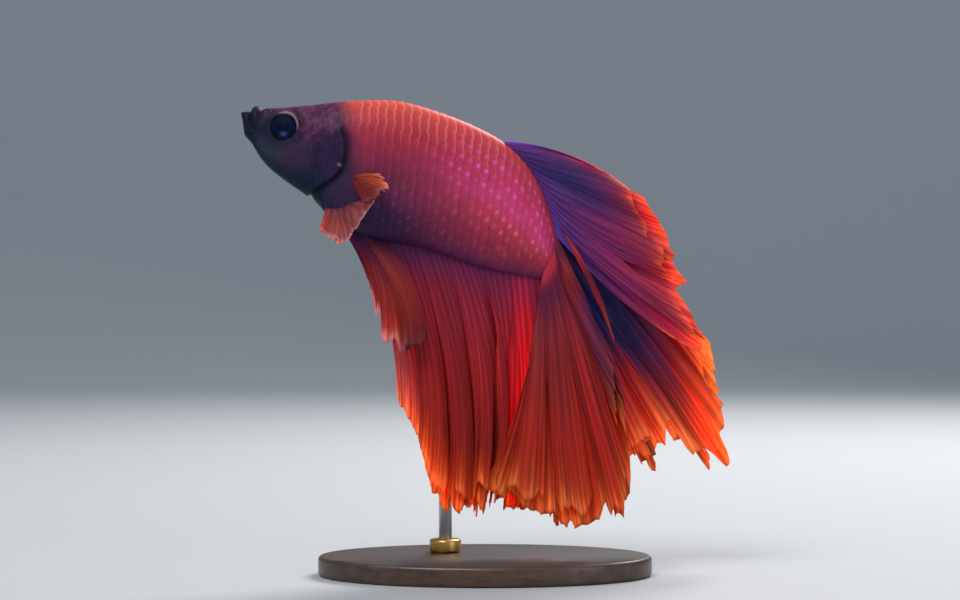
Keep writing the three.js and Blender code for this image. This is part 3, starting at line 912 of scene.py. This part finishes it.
LOWER_CAUDAL_RAYS = [
    (0, -62, -11, 17, 1.6),
    (0.08, -74, 20, 20.5, -0.4),
    (0.25, -67, -5, 33, -2),
    (0.36, -72, -3, 41.2, -2.5),
    (0.52, -80, -2, 41.4, -3),
    (0.67, -87, 1, 40.2, -3.4),
    (0.83, -94, 0, 36.8, -3.2),
    (0.92, -95, -9, 35.2, -2.8),
    (1, -94, -23, 32, -2.2),
]
FRONT_ANAL_RAYS = [
    (0, -56, -12, 11.4, -1.6),
    (0.06, -53, -24, 12.6, -1.7),
    (0.2, -48, -45, 15.6, -2.1),
    (0.34, -46, -53, 19.4, -2.6),
    (0.48, -44, -51, 20.8, -3),
    (0.64, -42, -54, 20.6, -3.4),
    (0.82, -39, -55, 20, -3.2),
    (1, -36, -57, 19.3, -2.8),
]
REAR_ANAL_RAYS = [
    (0, -72, -16, 26, -0.2),
    (0.07, -65, -30.5, 31.4, 0.2),
    (0.1, -65, -32.5, 35, -0.1),
    (0.14, -65, -34, 38.8, -0.6),
    (0.2, -67, -30.5, 42, -1),
    (0.24, -69, -26.5, 42, -1.3),
    (0.34, -70, -25, 41.2, -1.5),
    (0.49, -71, -27, 39.7, -1.7),
    (0.58, -72, -28, 37.2, -1),
    (0.67, -81, -16, 37.6, 0.5),
    (0.87, -85, -8, 36.2, 1.2),
    (1, -90, 6, 37.2, 2),
]
PECTORAL_RAYS = [
    (0, 14, -20, 3.9, 6.4),
    (0.12, 8, -12, 4.8, 6.8),
    (0.28, 0, -9, 5.5, 7.2),
    (0.45, -10, -8, 6, 7.6),
    (0.62, -19, -8, 6.2, 7.8),
    (0.76, -30, -6, 5.4, 7.6),
    (0.88, -44, -6, 4.9, 7.2),
    (1, -62, 4, 4.2, 6.6),
]
PELVIC_RAYS = [
    (0, -98, -8, 3.6, 3.4),
    (0.2, -98, -4, 4.4, 4),
    (0.42, -90, -4, 5.2, 4.4),
    (0.6, -80, -4, 6, 4.8),
    (0.72, -66, -8, 5, 5),
    (0.83, -46, -10, 3.5, 5.3),
    (0.93, -16, -14, 3.2, 5.6),
    (1, 12, -16, 3.9, 5.8),
]
PECTORAL_ROOT = ((19.25, 4.35, -2.6), (19.35, 4.35, -2.9))
PELVIC_ROOT = ((17.6, 1.8, -8.2), (20.9, 3.9, -6.1))
RIGHT_PELVIC_LEAN = -12
FIN_ROOT_SUNK = 0.8


# %% Roots
def ridge_root(start, end, line):
    """A root along the back or the belly, sunk a little into the body."""

    def root(share):
        along = start + (end - start) * share
        height = between(BODY_PROFILE, along)[:, line]
        return in_body(along, 0, height - np.sign(height) * FIN_ROOT_SUNK)

    return root


def line_root(start, end):
    start, end = np.array(start), np.array(end)
    return lambda share: start + (end - start) * share[:, None]


def side_root(ends, side):
    return line_root(*(in_body(np.array(a), side * b, c) for a, b, c in ends))


# %% The fan and its folds
FOLD_COLUMNS = 48
SPOT_COLOURS = {  # the tints that a fin's patches name
    # a brighter crimson: partly the membrane's own red, partly a painted glow of light shining through it
    "glow": "#d0242c",
    "blaze": "#e8642c",
    "wine": "#7a2028",
    "pale": "#d8b0b4",
    # dark navy: partly the membrane's own dark colour, partly painted shade in valleys, gaps and at the
    # root
    "dusk": "#343a76",
    "flesh": "#c83c54",
}


def fan_point(fin, share, out):
    """A point of the fin's plain fan: share runs along the root, and out from root to tip."""
    lean, curl, reach, tip = between(fin["rays"], share).T
    start = fin["root"](share)
    half_turn = np.radians(curl) * out / 2
    chord = reach * out * np.sinc(half_turn / np.pi)
    heading = np.radians(lean + fin.get("lean", 0)) + half_turn
    fold = fin["fold"] * np.sin(2 * np.pi * fin["folds"] * share + fin.get("phase", 0)) * out**2
    bow = fin.get("bow", 0) * 4 * out * (1 - out)
    y = start[:, 1] * (1 - out) + fin.get("side", 1) * tip * out + fold + bow
    x, z = start[:, 0] + chord * np.cos(heading), start[:, 2] + chord * np.sin(heading)
    return np.stack([x, y, z], axis=-1)


def gathered(fin, share, out):
    """How far a corner slides along the fan, stands to one side and is crowded in folds of the sheet; the
    crowding is painted as shade.
    """
    window = np.sqrt(np.sin(np.pi * np.clip(share, 0, 1)))
    uneven = share + 0.035 * wander(share, 7, fin["seed"] + 5)
    slide, bulge, crowd = np.zeros((3, len(share)))
    for count, overlap, depth, phase in fin["gathers"]:
        wave = 2 * np.pi * (count * uneven + phase + 0.1 * np.sin(3 * out + 7 * phase))
        grown = ease(out, 0.02, 0.75) * window
        slide += overlap / (2 * np.pi * count) * np.sin(wave) * grown
        bulge += depth * np.sin(wave) * grown
        crowd -= overlap * np.cos(wave) * grown
    return slide, bulge, np.clip(crowd, 0, 1)


def overlaid(fin, number, across, out):
    """Where each corner lies: sheet 0 is the whole fan, and each further one a fold that lies over it."""
    share, length, follow = across.copy(), np.ones_like(across), np.ones_like(across)
    lift, rim = np.zeros((2, len(across)))
    for i, (root_from, root_to, tip_from, tip_to, reach, rise) in enumerate(fin.get("over", [])):
        mine = number == i + 1
        from_middle = np.abs(2 * across[mine] - 1)
        sway = ease(out[mine], 0, 1)
        first = root_from + (tip_from - root_from) * sway
        last = root_to + (tip_to - root_to) * sway
        share[mine] = first + (last - first) * across[mine]
        length[mine] = reach * (1 - 0.06 * from_middle**3)
        lift[mine] = rise * ease(out[mine], 0, 0.35) * (1 - 0.3 * from_middle**5)
        # the fold's turned edges, where a highlight is painted
        rim[mine] = bump_at(1 - from_middle, 0.06) * ease(out[mine], 0.05, 0.4)
        follow[mine] = 0.45
    return share, length, lift, rim, follow


def ribs(fin, share, out):
    """The rays as ridges, from -1 between two rays to 1 on a ray. They fork at a third and two thirds."""
    count = fin["ray_count"]
    once = np.cos(2 * np.pi * count * share)
    twice = -np.cos(4 * np.pi * count * share)
    four_times = np.cos(8 * np.pi * count * share)
    first, second = ease(out, 0.25, 0.45), ease(out, 0.6, 0.78)
    return (once * (1 - first) + twice * first) * (1 - second) + four_times * second


def ragged(fin, share, number):
    """How much shorter than the fan the sheet is: pointed teeth, longer tears, and a few cuts."""
    seed = fin["seed"]
    short = np.zeros_like(share)
    for sheet in range(number.max() + 1):
        mine = number == sheet
        teeth = np.abs(wander(share[mine], fin["teeth"], seed + 7 * sheet)) ** 0.8
        small = np.abs(wander(share[mine], fin["teeth"] * 3, seed + 7 * sheet + 1)) ** 0.8
        tears = np.clip(wander(share[mine], fin["tears"], seed + 7 * sheet + 2), 0, 1) ** 1.5
        short[mine] = fin["tooth"] * (teeth + 0.35 * small) + fin["tear"] * tears
    for at, half_width, depth in fin.get("cuts", []):
        short += depth * np.clip(1 - np.abs(share - at) / half_width, 0, 1) * (number == 0)
    return short


def fin_mesh(name, fin):
    sizes = [(fin["columns"], fin["rows"])] + [(FOLD_COLUMNS, fin["rows"])] * len(fin.get("over", []))
    mesh, across, out, number = grid_mesh(name, *sizes)
    share, length, lift, rim, follow = overlaid(fin, number, across, out)
    slide, bulge, crowd = gathered(fin, share, out)
    bulge_most = sum(depth for _, _, depth, _ in fin["gathers"])
    tucked = fin.get("tuck", 0) * (bulge / bulge_most) ** 2
    drawn = out * length * (1 - ragged(fin, share, number)) * (1 - tucked)
    moved = np.clip(share + slide * follow, 0, 1)
    middle = fan_point(fin, moved, drawn)
    step = 1e-3
    before, after = np.clip(moved - step, 0, 1), np.clip(moved + step, 0, 1)
    aside = fan_point(fin, after, drawn) - fan_point(fin, before, drawn)
    outwards = fan_point(fin, moved, drawn + step) - fan_point(fin, moved, drawn - step)
    normal = np.cross(aside, outwards)
    normal /= np.linalg.norm(normal, axis=1, keepdims=True) + 1e-12
    normal *= np.where(normal[:, 1:2] < 0, -1, 1)
    rib = ribs(fin, share, out)
    height = bulge * follow - lift + fin["rib"] * rib * ease(out, 0, 0.12)
    lay(mesh, middle + normal * height[:, None])
    spots = {kind: np.zeros_like(share) for kind in SPOT_COLOURS}
    for kind, at, size, strength in fin["patches"]:
        spots[kind] += strength * bump_at(np.hypot((share - at[0]) / size[0], (drawn - at[1]) / size[1]), 1)
    hem = out * length + (1 - length) * out**8
    crowd *= 1 - 0.7 * ease(out, 0.75, 1)
    mark(mesh, share=share, out=hem, rib=rib * 0.5 + 0.5, crowd=crowd, rim=rim)
    mark(mesh, **{kind: np.clip(spot, 0, 1) for kind, spot in spots.items()})
    return mesh


# %% [markdown]
# ## Fin membrane
# The membrane is thin and lets light through, so its shader mixes a soft reflecting surface with a
# translucent one. Its colour runs from the dark root to the pale edge along each ray, drawn out into
# streaks that are partly painted shade of fine folds. Where the sheet is crowded into folds, shade is
# painted in, and where a fold turns over, a highlight is painted along its edge.
# %% Fin material
def fin_material(name, colours, translucence=0.42, streaks=1.0):
    material, tree = new_material(name)
    share, out, rib = (attribute(tree, key) for key in ("share", "out", "rib"))
    place = node(tree, "CombineXYZ", {"X": times(tree, share, 70), "Y": times(tree, out, 1.6)})
    streak = noise(tree, place.outputs[0], 1, 3, 0.65)
    wide_place = node(tree, "CombineXYZ", {"X": times(tree, share, 20), "Y": out, "Z": 5.0})
    wide = noise(tree, wide_place.outputs[0], 1, 2)
    fine_pull = times(tree, minus(tree, streak, 0.5), 0.34 * streaks)
    wide_pull = times(tree, minus(tree, wide, 0.5), 0.3 * streaks)
    pull = times(tree, plus(tree, fine_pull, wide_pull), step_up(tree, out, 0.04, 0.3))
    colour = ramp(tree, plus(tree, out, pull), colours)
    # streaks of lighter and darker colour, partly the membrane's own and partly painted shade of fine folds
    shade = plus(tree, 0.62, times(tree, streak, 0.76))
    colour = blend_times(tree, colour, shade)
    for kind, tint in SPOT_COLOURS.items():
        colour = tinted(tree, colour, attribute(tree, kind), 0.9, blend_times(tree, tint, shade))
    # painted highlight along the turned edge of each fold that lies over the sheet
    colour = tinted(tree, colour, attribute(tree, "rim"), 0.5, "#cc4434")
    between_rays = times(tree, minus(tree, 1, rib), 0.42)
    # painted shade where the sheet is crowded into folds
    crowded = times(tree, attribute(tree, "crowd"), 0.36)
    colour = blend_times(tree, colour, minus(tree, minus(tree, 1.31, between_rays), crowded))
    sockets = {"Base Color": colour, "Roughness": 0.55, "Specular IOR Level": 0.12}
    surface = node(tree, "BsdfPrincipled", sockets)
    through = node(tree, "BsdfTranslucent", {"Color": blend_times(tree, colour, 2.1)})
    mixed = node(tree, "MixShader", {"Fac": translucence, 1: surface.outputs[0], 2: through.outputs[0]})
    end_material(tree, mixed.outputs[0])
    return material


# %% [markdown]
# ## The five long fins
# Dorsal, front anal lobe, rear anal, and the tail fin in two fans, which hangs in heavy folds because this
# breed's fins are far larger than the fish can spread at rest. Each fin is one gathered sheet with a few
# folds over it. A fold is a strip of the same fan: its two edges at the root, its two edges at the tip,
# its length as a share of the fin's, and how far it stands off the sheet, towards the left side.
# %% Long fins
LONG_FINS = {
    "dorsal_fin": dict(
        rays=DORSAL_RAYS,
        root=ridge_root(36.5, 50.5, BACK),
        fold=0.7, folds=3.5, bow=-0.7, columns=420, rows=48, ray_count=15, rib=0.05,
        gathers=[(3, 1.2, 0.5, 0.1), (7, 0.9, 0.16, 0.45), (13, 0.6, 0.05, 0.2)],
        tuck=0.03,
        over=[
            (0.03, 0.52, 0.03, 0.5, 0.87, 0.9),
            (0.34, 0.8, 0.44, 0.63, 0.93, 1.2),
            (0.6, 0.94, 0.72, 0.84, 0.96, 1.1),
            (0.1, 0.45, 0.1, 0.34, 0.88, -1.0),
            (0.5, 0.85, 0.5, 0.75, 0.9, -1.1),
        ],
        teeth=24, tooth=0.02, tears=12, tear=0.014,
        cuts=[(0.67, 0.04, 0.1), (0.87, 0.025, 0.07)],
        seed=11,
        patches=[
            ("dusk", (0.27, 0.4), (0.15, 0.32), 0.85),
            ("dusk", (0.97, 0.3), (0.05, 0.3), 0.5),
            ("glow", (0.74, 0.46), (0.2, 0.2), 0.28),
            ("blaze", (0.05, 0.97), (0.3, 0.12), 1.1),
        ],
        colours=[
            (0, "#8058b4"), (0.3, "#6a3e86"), (0.5, "#803a7a"), (0.66, "#983668"), (0.8, "#a83a58"),
            (0.92, "#b84650"), (1, "#d86c48"),
        ],
    ),
    "anal_fin_front": dict(
        rays=FRONT_ANAL_RAYS,
        root=ridge_root(19.8, 25.4, BELLY),
        fold=0.2, folds=2, bow=-0.5, columns=240, rows=40, ray_count=9, rib=0.05,
        gathers=[(2, 0.4, 0.3, 0.3), (5, 0.3, 0.12, 0.1)],
        over=[(0.5, 1.0, 0.6, 1.0, 1.0, 0.4)],
        teeth=9, tooth=0.03, tears=6, tear=0.02,
        cuts=[(0.13, 0.06, 0.2), (0.27, 0.06, 0.2), (0.41, 0.05, 0.1)],
        seed=21,
        patches=[
            ("dusk", (0.2, 0.0), (0.6, 0.3), 0.6),
            ("dusk", (0.0, 0.35), (0.08, 0.4), 0.7),
            ("blaze", (0.62, 0.35), (0.14, 0.35), 0.3),
            ("wine", (0.95, 1.05), (0.42, 0.3), 1.6),
        ],
        colours=[
            (0, "#4a2042"), (0.25, "#7a2a3c"), (0.5, "#963034"), (0.75, "#9c302e"), (0.9, "#b84438"),
            (1, "#e0a0a0"),
        ],
    ),
    "anal_fin_rear": dict(
        rays=REAR_ANAL_RAYS,
        root=ridge_root(24.8, 53.2, BELLY),
        fold=0.5, folds=6, columns=700, rows=52, ray_count=28, rib=0.06,
        gathers=[(6, 0.9, 0.4, 0.2), (11, 0.6, 0.14, 0.6), (19, 0.5, 0.06, 0.3)],
        tuck=0.07,
        over=[
            (0.04, 0.22, 0.1, 0.22, 0.97, 1.0),
            (0.22, 0.4, 0.27, 0.36, 0.98, 0.9),
            (0.4, 0.58, 0.4, 0.48, 0.95, 1.1),
            (0.62, 0.78, 0.52, 0.6, 0.97, 1.2),
            (0.88, 1.0, 0.74, 0.84, 0.96, 1.0),
            (0.1, 0.35, 0.12, 0.28, 0.9, -1.0),
            (0.4, 0.7, 0.38, 0.56, 0.92, -1.1),
        ],
        teeth=50, tooth=0.03, tears=24, tear=0.04, seed=31,
        patches=[
            ("glow", (0.87, 0.6), (0.14, 0.42), 1.15),
            ("pale", (0.0, 0.8), (0.07, 0.3), 0.22),
            ("wine", (0.3, 0.45), (0.04, 0.4), 0.5),
            ("wine", (0.5, 0.5), (0.03, 0.4), 0.4),
            ("dusk", (0.1, 0.02), (0.3, 0.08), 0.4),
            ("dusk", (0.02, 0.2), (0.07, 0.3), 0.8),
        ],
        colours=[
            (0, "#84305c"), (0.08, "#862c50"), (0.18, "#982842"), (0.4, "#ac2c34"), (0.6, "#a82828"),
            (0.76, "#a62a20"), (0.88, "#bc3e1c"), (0.96, "#d05e24"), (1, "#e08840"),
        ],
    ),
    "caudal_fin_upper": dict(
        rays=UPPER_CAUDAL_RAYS,
        root=line_root((10.4, 5.8, 54.2), (10.8, 6, 48.4)),
        fold=0.8, folds=4, phase=1, bow=0.4, columns=620, rows=56, ray_count=16, rib=0.06,
        gathers=[(4, 1.3, 0.6, 0.35), (9, 0.9, 0.25, 0.1), (17, 0.7, 0.07, 0.8)],
        tuck=0.06,
        over=[
            (0.1, 0.38, 0.12, 0.3, 0.96, 1.3),
            (0.4, 0.62, 0.42, 0.54, 0.98, 1.3),
            (0.66, 1.0, 0.8, 0.98, 0.97, 1.3),
            (0.2, 0.5, 0.28, 0.44, 0.9, -1.3),
            (0.6, 0.95, 0.6, 0.8, 0.92, -1.3),
        ],
        teeth=26, tooth=0.035, tears=16, tear=0.04,
        cuts=[(0.54, 0.008, 0.05), (0.83, 0.012, 0.06)],
        seed=41,
        patches=[
            ("dusk", (0.6, 0.32), (0.19, 0.19), 1.6),
            ("blaze", (0.46, 0.84), (0.1, 0.14), 0.6),
            ("glow", (0.86, 0.72), (0.14, 0.25), 0.5),
        ],
        colours=[
            (0, "#4e2c6a"), (0.2, "#502e6c"), (0.38, "#642c64"), (0.55, "#903056"), (0.68, "#ac2e3a"),
            (0.8, "#be4438"), (0.92, "#cc683c"), (1, "#e09450"),
        ],
    ),
    "caudal_fin_lower": dict(
        rays=LOWER_CAUDAL_RAYS,
        root=line_root((10.6, 4.6, 51.4), (8.6, 4.2, 44.6)),
        fold=0.8, folds=4.5, columns=560, rows=54, ray_count=14, rib=0.06,
        gathers=[(4, 1.2, 0.45, 0.7), (9, 1.0, 0.2, 0.3), (16, 0.7, 0.06, 0.5)],
        tuck=0.06,
        over=[
            (0.0, 0.3, 0.12, 0.26, 0.97, 1.0),
            (0.25, 0.55, 0.3, 0.46, 0.98, 1.1),
            (0.5, 0.82, 0.52, 0.68, 0.97, 1.0),
            (0.75, 1.0, 0.78, 0.94, 0.96, 1.1),
            (0.2, 0.6, 0.3, 0.5, 0.92, -1.0),
            (0.6, 0.95, 0.6, 0.8, 0.9, -1.0),
        ],
        teeth=30, tooth=0.035, tears=18, tear=0.04, seed=51,
        patches=[
            ("dusk", (0.03, 0.68), (0.12, 0.24), 0.75),
            ("wine", (0.04, 1.0), (0.13, 0.26), 1.3),
            ("flesh", (0.55, 0.03), (0.5, 0.05), 1.3),
            ("wine", (0.14, 0.7), (0.1, 0.6), 0.6),
            ("glow", (0.4, 0.6), (0.04, 0.4), 0.4),
            ("wine", (0.6, 0.4), (0.03, 0.4), 0.4),
        ],
        colours=[
            (0, "#46224e"), (0.12, "#6c264a"), (0.3, "#963038"), (0.5, "#a02e2c"), (0.72, "#b02c22"),
            (0.84, "#b03820"), (0.93, "#bc4c24"), (1, "#d27c40"),
        ],
    ),
}
MEMBRANE = 0.12  # thickness in mm


def make_fin(name, fin, replaced=None, **finish):
    mesh = fin_mesh(name, fin)
    membrane = fin_material(name + "_membrane", fin["colours"], **finish)
    made = piece(name, mesh, membrane, "fin", replaced or name)
    body = made.modifiers.new("thin_body", "SOLIDIFY")
    body.thickness = MEMBRANE * MM
    body.offset = 0


for name, fin in LONG_FINS.items():
    make_fin(name, fin)

# %% [markdown]
# ## A loose streamer
# One long ray of the tail fin has torn free. It hangs down over the dark gap between the two fans as a
# narrow ribbon that ends in a point. It is drawn like a fin, from a root only as wide as one ray.
# %% Streamer
streamer = dict(
    rays=[(0, -52, -26, 18.3, -2), (1, -63, -4, 18.3, -2)],
    root=line_root((11.4, 2.4, 52.1), (11.5, 2.4, 51.9)),
    fold=0, folds=1, bow=-1.5, columns=24, rows=60, ray_count=1, rib=0.05,
    gathers=[(1, 0.3, 0.1, 0.2)],
    teeth=3, tooth=0, tears=3, tear=0, seed=81,
    patches=[("glow", (0.5, 0.2), (2, 0.2), 0.3)],
    colours=[(0, "#5c2444"), (0.2, "#a83c40"), (0.42, "#7c283a"), (0.7, "#9c3030"), (1, "#c85034")],
)
make_fin("caudal_streamer", streamer, "caudal_fin_upper", streaks=0.4)

# %% [markdown]
# ## Paired fins
# The pectoral fins are small fans behind the gill covers, orange above and dull red below, where the
# dull red is partly painted shade. The pelvic fins are short fans under the breast: the left one is
# pink, and the right one is orange and turned a little towards the head. Each pair comes from one
# description, with the side as a sign.
# %% Paired fins
ORANGE = [(0, "#5c2840"), (0.16, "#90383a"), (0.4, "#b0503e"), (0.8, "#bc6040"), (1, "#dca490")]
PINK = [(0, "#5e2a44"), (0.25, "#843e4a"), (0.6, "#9a4a4a"), (0.9, "#a45e62"), (1, "#c69aa0")]
PAIRED = dict(fold=0, folds=2, columns=130, rows=36, rib=0.05)
for side, word in SIDES:
    pectoral = dict(
        PAIRED,
        rays=PECTORAL_RAYS,
        root=side_root(PECTORAL_ROOT, side),
        side=side, fold=0.25 * side, ray_count=6,
        gathers=[(2, 0.6, 0.15, 0.3), (4, 0.5, 0.06, 0.1)],
        teeth=9, tooth=0.06, tears=5, tear=0.03,
        cuts=[(0.2, 0.05, 0.13), (0.36, 0.06, 0.14), (0.53, 0.06, 0.15), (0.7, 0.06, 0.12)],
        seed=61,
        # the wine patch on the lower rays is partly painted shade
        patches=[("blaze", (0.25, 0.6), (0.3, 0.4), 0.3), ("wine", (1, 0.6), (0.42, 0.9), 1.3)],
        colours=ORANGE,
    )
    pelvic = dict(
        PAIRED,
        rays=PELVIC_RAYS,
        root=side_root(PELVIC_ROOT, side),
        side=side,
        lean=RIGHT_PELVIC_LEAN if side > 0 else 0,
        bow=0.5 * side, fold=0.25 * side, ray_count=5,
        gathers=[(2, 0.7, 0.12, 0.2), (5, 0.5, 0.05, 0.6)],
        teeth=7, tooth=0.1, tears=4, tear=0.06, seed=71,
        patches=[("blaze", (0.1, 0.7), (0.2, 0.5), 0.35), ("wine", (0.26, 0.4), (0.05, 0.5), 0.6)],
        colours=PINK if side < 0 else ORANGE,
    )
    make_fin("pectoral_fin_" + word, pectoral, streaks=0.7)
    make_fin("pelvic_fin_" + word, pelvic, streaks=0.6)

# %% [markdown]
# ## Stand
# A turned oval wooden base with a soft edge, a slim steel rod up into the belly, and a small brass collar
# where the rod meets the wood. Round work starts from a bmesh cone, and a bevel softens its rims.
# %% Stand shapes
BASE_WIDTH_MM = 32
BASE_HEIGHT_MM = 3
BASE_EDGE_MM = 0.6
BASE_START_RADIUS = 5  # the base is turned as this small round, then each rim moves out to the oval
COLLAR_RADIUS, COLLAR_HEIGHT, COLLAR_EDGE = 2.4, 2, 0.4
ROD_RADIUS, ROD_EDGE = 1, 0.15
ROD_FOOT = Vector((-6, 4.4, 1))
ROD_TOP = Vector((-6, 2.7, 55))


def turned(radius, height, edge, segments, steps):
    """An upright round of a lathe, with its two rims softened, standing on z = 0."""
    shape = bmesh.new()
    bmesh.ops.create_cone(
        shape, cap_ends=True, segments=segments, radius1=radius, radius2=radius, depth=height
    )
    bmesh.ops.translate(shape, verts=shape.verts, vec=(0, 0, height / 2))
    rims = [e for e in shape.edges if abs(e.verts[0].co.z - e.verts[1].co.z) < height / 4]
    bmesh.ops.bevel(shape, geom=rims, offset=edge, offset_type="OFFSET", affect="EDGES", segments=steps,
                    profile=0.5, material=-1)
    return shape


def stand_piece(name, shape, material, slot):
    bmesh.ops.scale(shape, verts=shape.verts, vec=(MM, MM, MM))
    mesh = bpy.data.meshes.new(name)
    shape.to_mesh(mesh)
    shape.free()
    piece(name, mesh, material, slot, name)


# %% Stand materials
wood, tree = new_material("dark_walnut")
place = object_place(tree)
stretched = node(tree, "Mapping", {"Vector": place, "Scale": (60, 420, 420)}).outputs[0]
rings = noise(tree, stretched, 1, 5, 0.6)
narrow = node(tree, "Mapping", {"Vector": place, "Scale": (300, 3200, 3200)}).outputs[0]
pores = noise(tree, narrow, 1, 2)
wood_colour = ramp(tree, rings, [(0.25, "#1e120c"), (0.45, "#3a2417"), (0.6, "#513322"), (0.75, "#2c1a11")])
wood_colour = tinted(tree, wood_colour, step_up(tree, pores, 0.56, 0.7), 0.6, "#140b07")
wood_rough = plus(tree, 0.38, times(tree, rings, 0.2))
wood_sockets = {"Base Color": wood_colour, "Roughness": wood_rough, "Normal": bumps(tree, pores, 0.3)}
wood_sockets.update({"Coat Weight": 0.35, "Coat Roughness": 0.2})
end_material(tree, node(tree, "BsdfPrincipled", wood_sockets).outputs[0])


def brushed_metal(name, tint, roughness, grain_scale):
    material, tree = new_material(name)
    fine = node(tree, "Mapping", {"Vector": object_place(tree), "Scale": grain_scale}).outputs[0]
    grain = noise(tree, fine, 1, 3)
    rough = plus(tree, roughness, times(tree, grain, 0.22))
    worn = blend_times(tree, tint, plus(tree, 0.85, times(tree, grain, 0.3)))
    sockets = {"Base Color": worn, "Metallic": 1.0, "Roughness": rough}
    sockets["Normal"] = bumps(tree, grain, 0.12, 0.00005)
    end_material(tree, node(tree, "BsdfPrincipled", sockets).outputs[0])
    return material


steel = brushed_metal("brushed_steel_rod", "#b4b7ba", 0.24, (9000, 9000, 250))
brass = brushed_metal("satin_brass_collar", "#c09a52", 0.22, (600, 600, 9000))

# %% Stand pieces
base = turned(BASE_START_RADIUS, BASE_HEIGHT_MM, BASE_EDGE_MM, 128, 5)
for vert in base.verts:
    inset = math.hypot(vert.co.x, vert.co.y)
    if inset > 0:
        turn = math.atan2(vert.co.y, vert.co.x)
        shrink = BASE_START_RADIUS - inset
        vert.co.x = (BASE_LENGTH_MM / 2 - shrink) * math.cos(turn)
        vert.co.y = (BASE_WIDTH_MM / 2 - shrink) * math.sin(turn)
stand_piece("stand_base", base, wood, "stand_wood")
collar = turned(COLLAR_RADIUS, COLLAR_HEIGHT, COLLAR_EDGE, 64, 4)
bmesh.ops.translate(collar, verts=collar.verts, vec=(ROD_FOOT.x, ROD_FOOT.y, BASE_HEIGHT_MM))
stand_piece("stand_collar", collar, brass, "stand_brass")
rod_line = ROD_TOP - ROD_FOOT
rod = turned(ROD_RADIUS, rod_line.length, ROD_EDGE, 48, 2)
bmesh.ops.rotate(rod, verts=rod.verts, cent=(0, 0, 0),
                 matrix=Vector((0, 0, 1)).rotation_difference(rod_line).to_matrix())
bmesh.ops.translate(rod, verts=rod.verts, vec=ROD_FOOT)
stand_piece("stand_rod", rod, steel, "stand_steel")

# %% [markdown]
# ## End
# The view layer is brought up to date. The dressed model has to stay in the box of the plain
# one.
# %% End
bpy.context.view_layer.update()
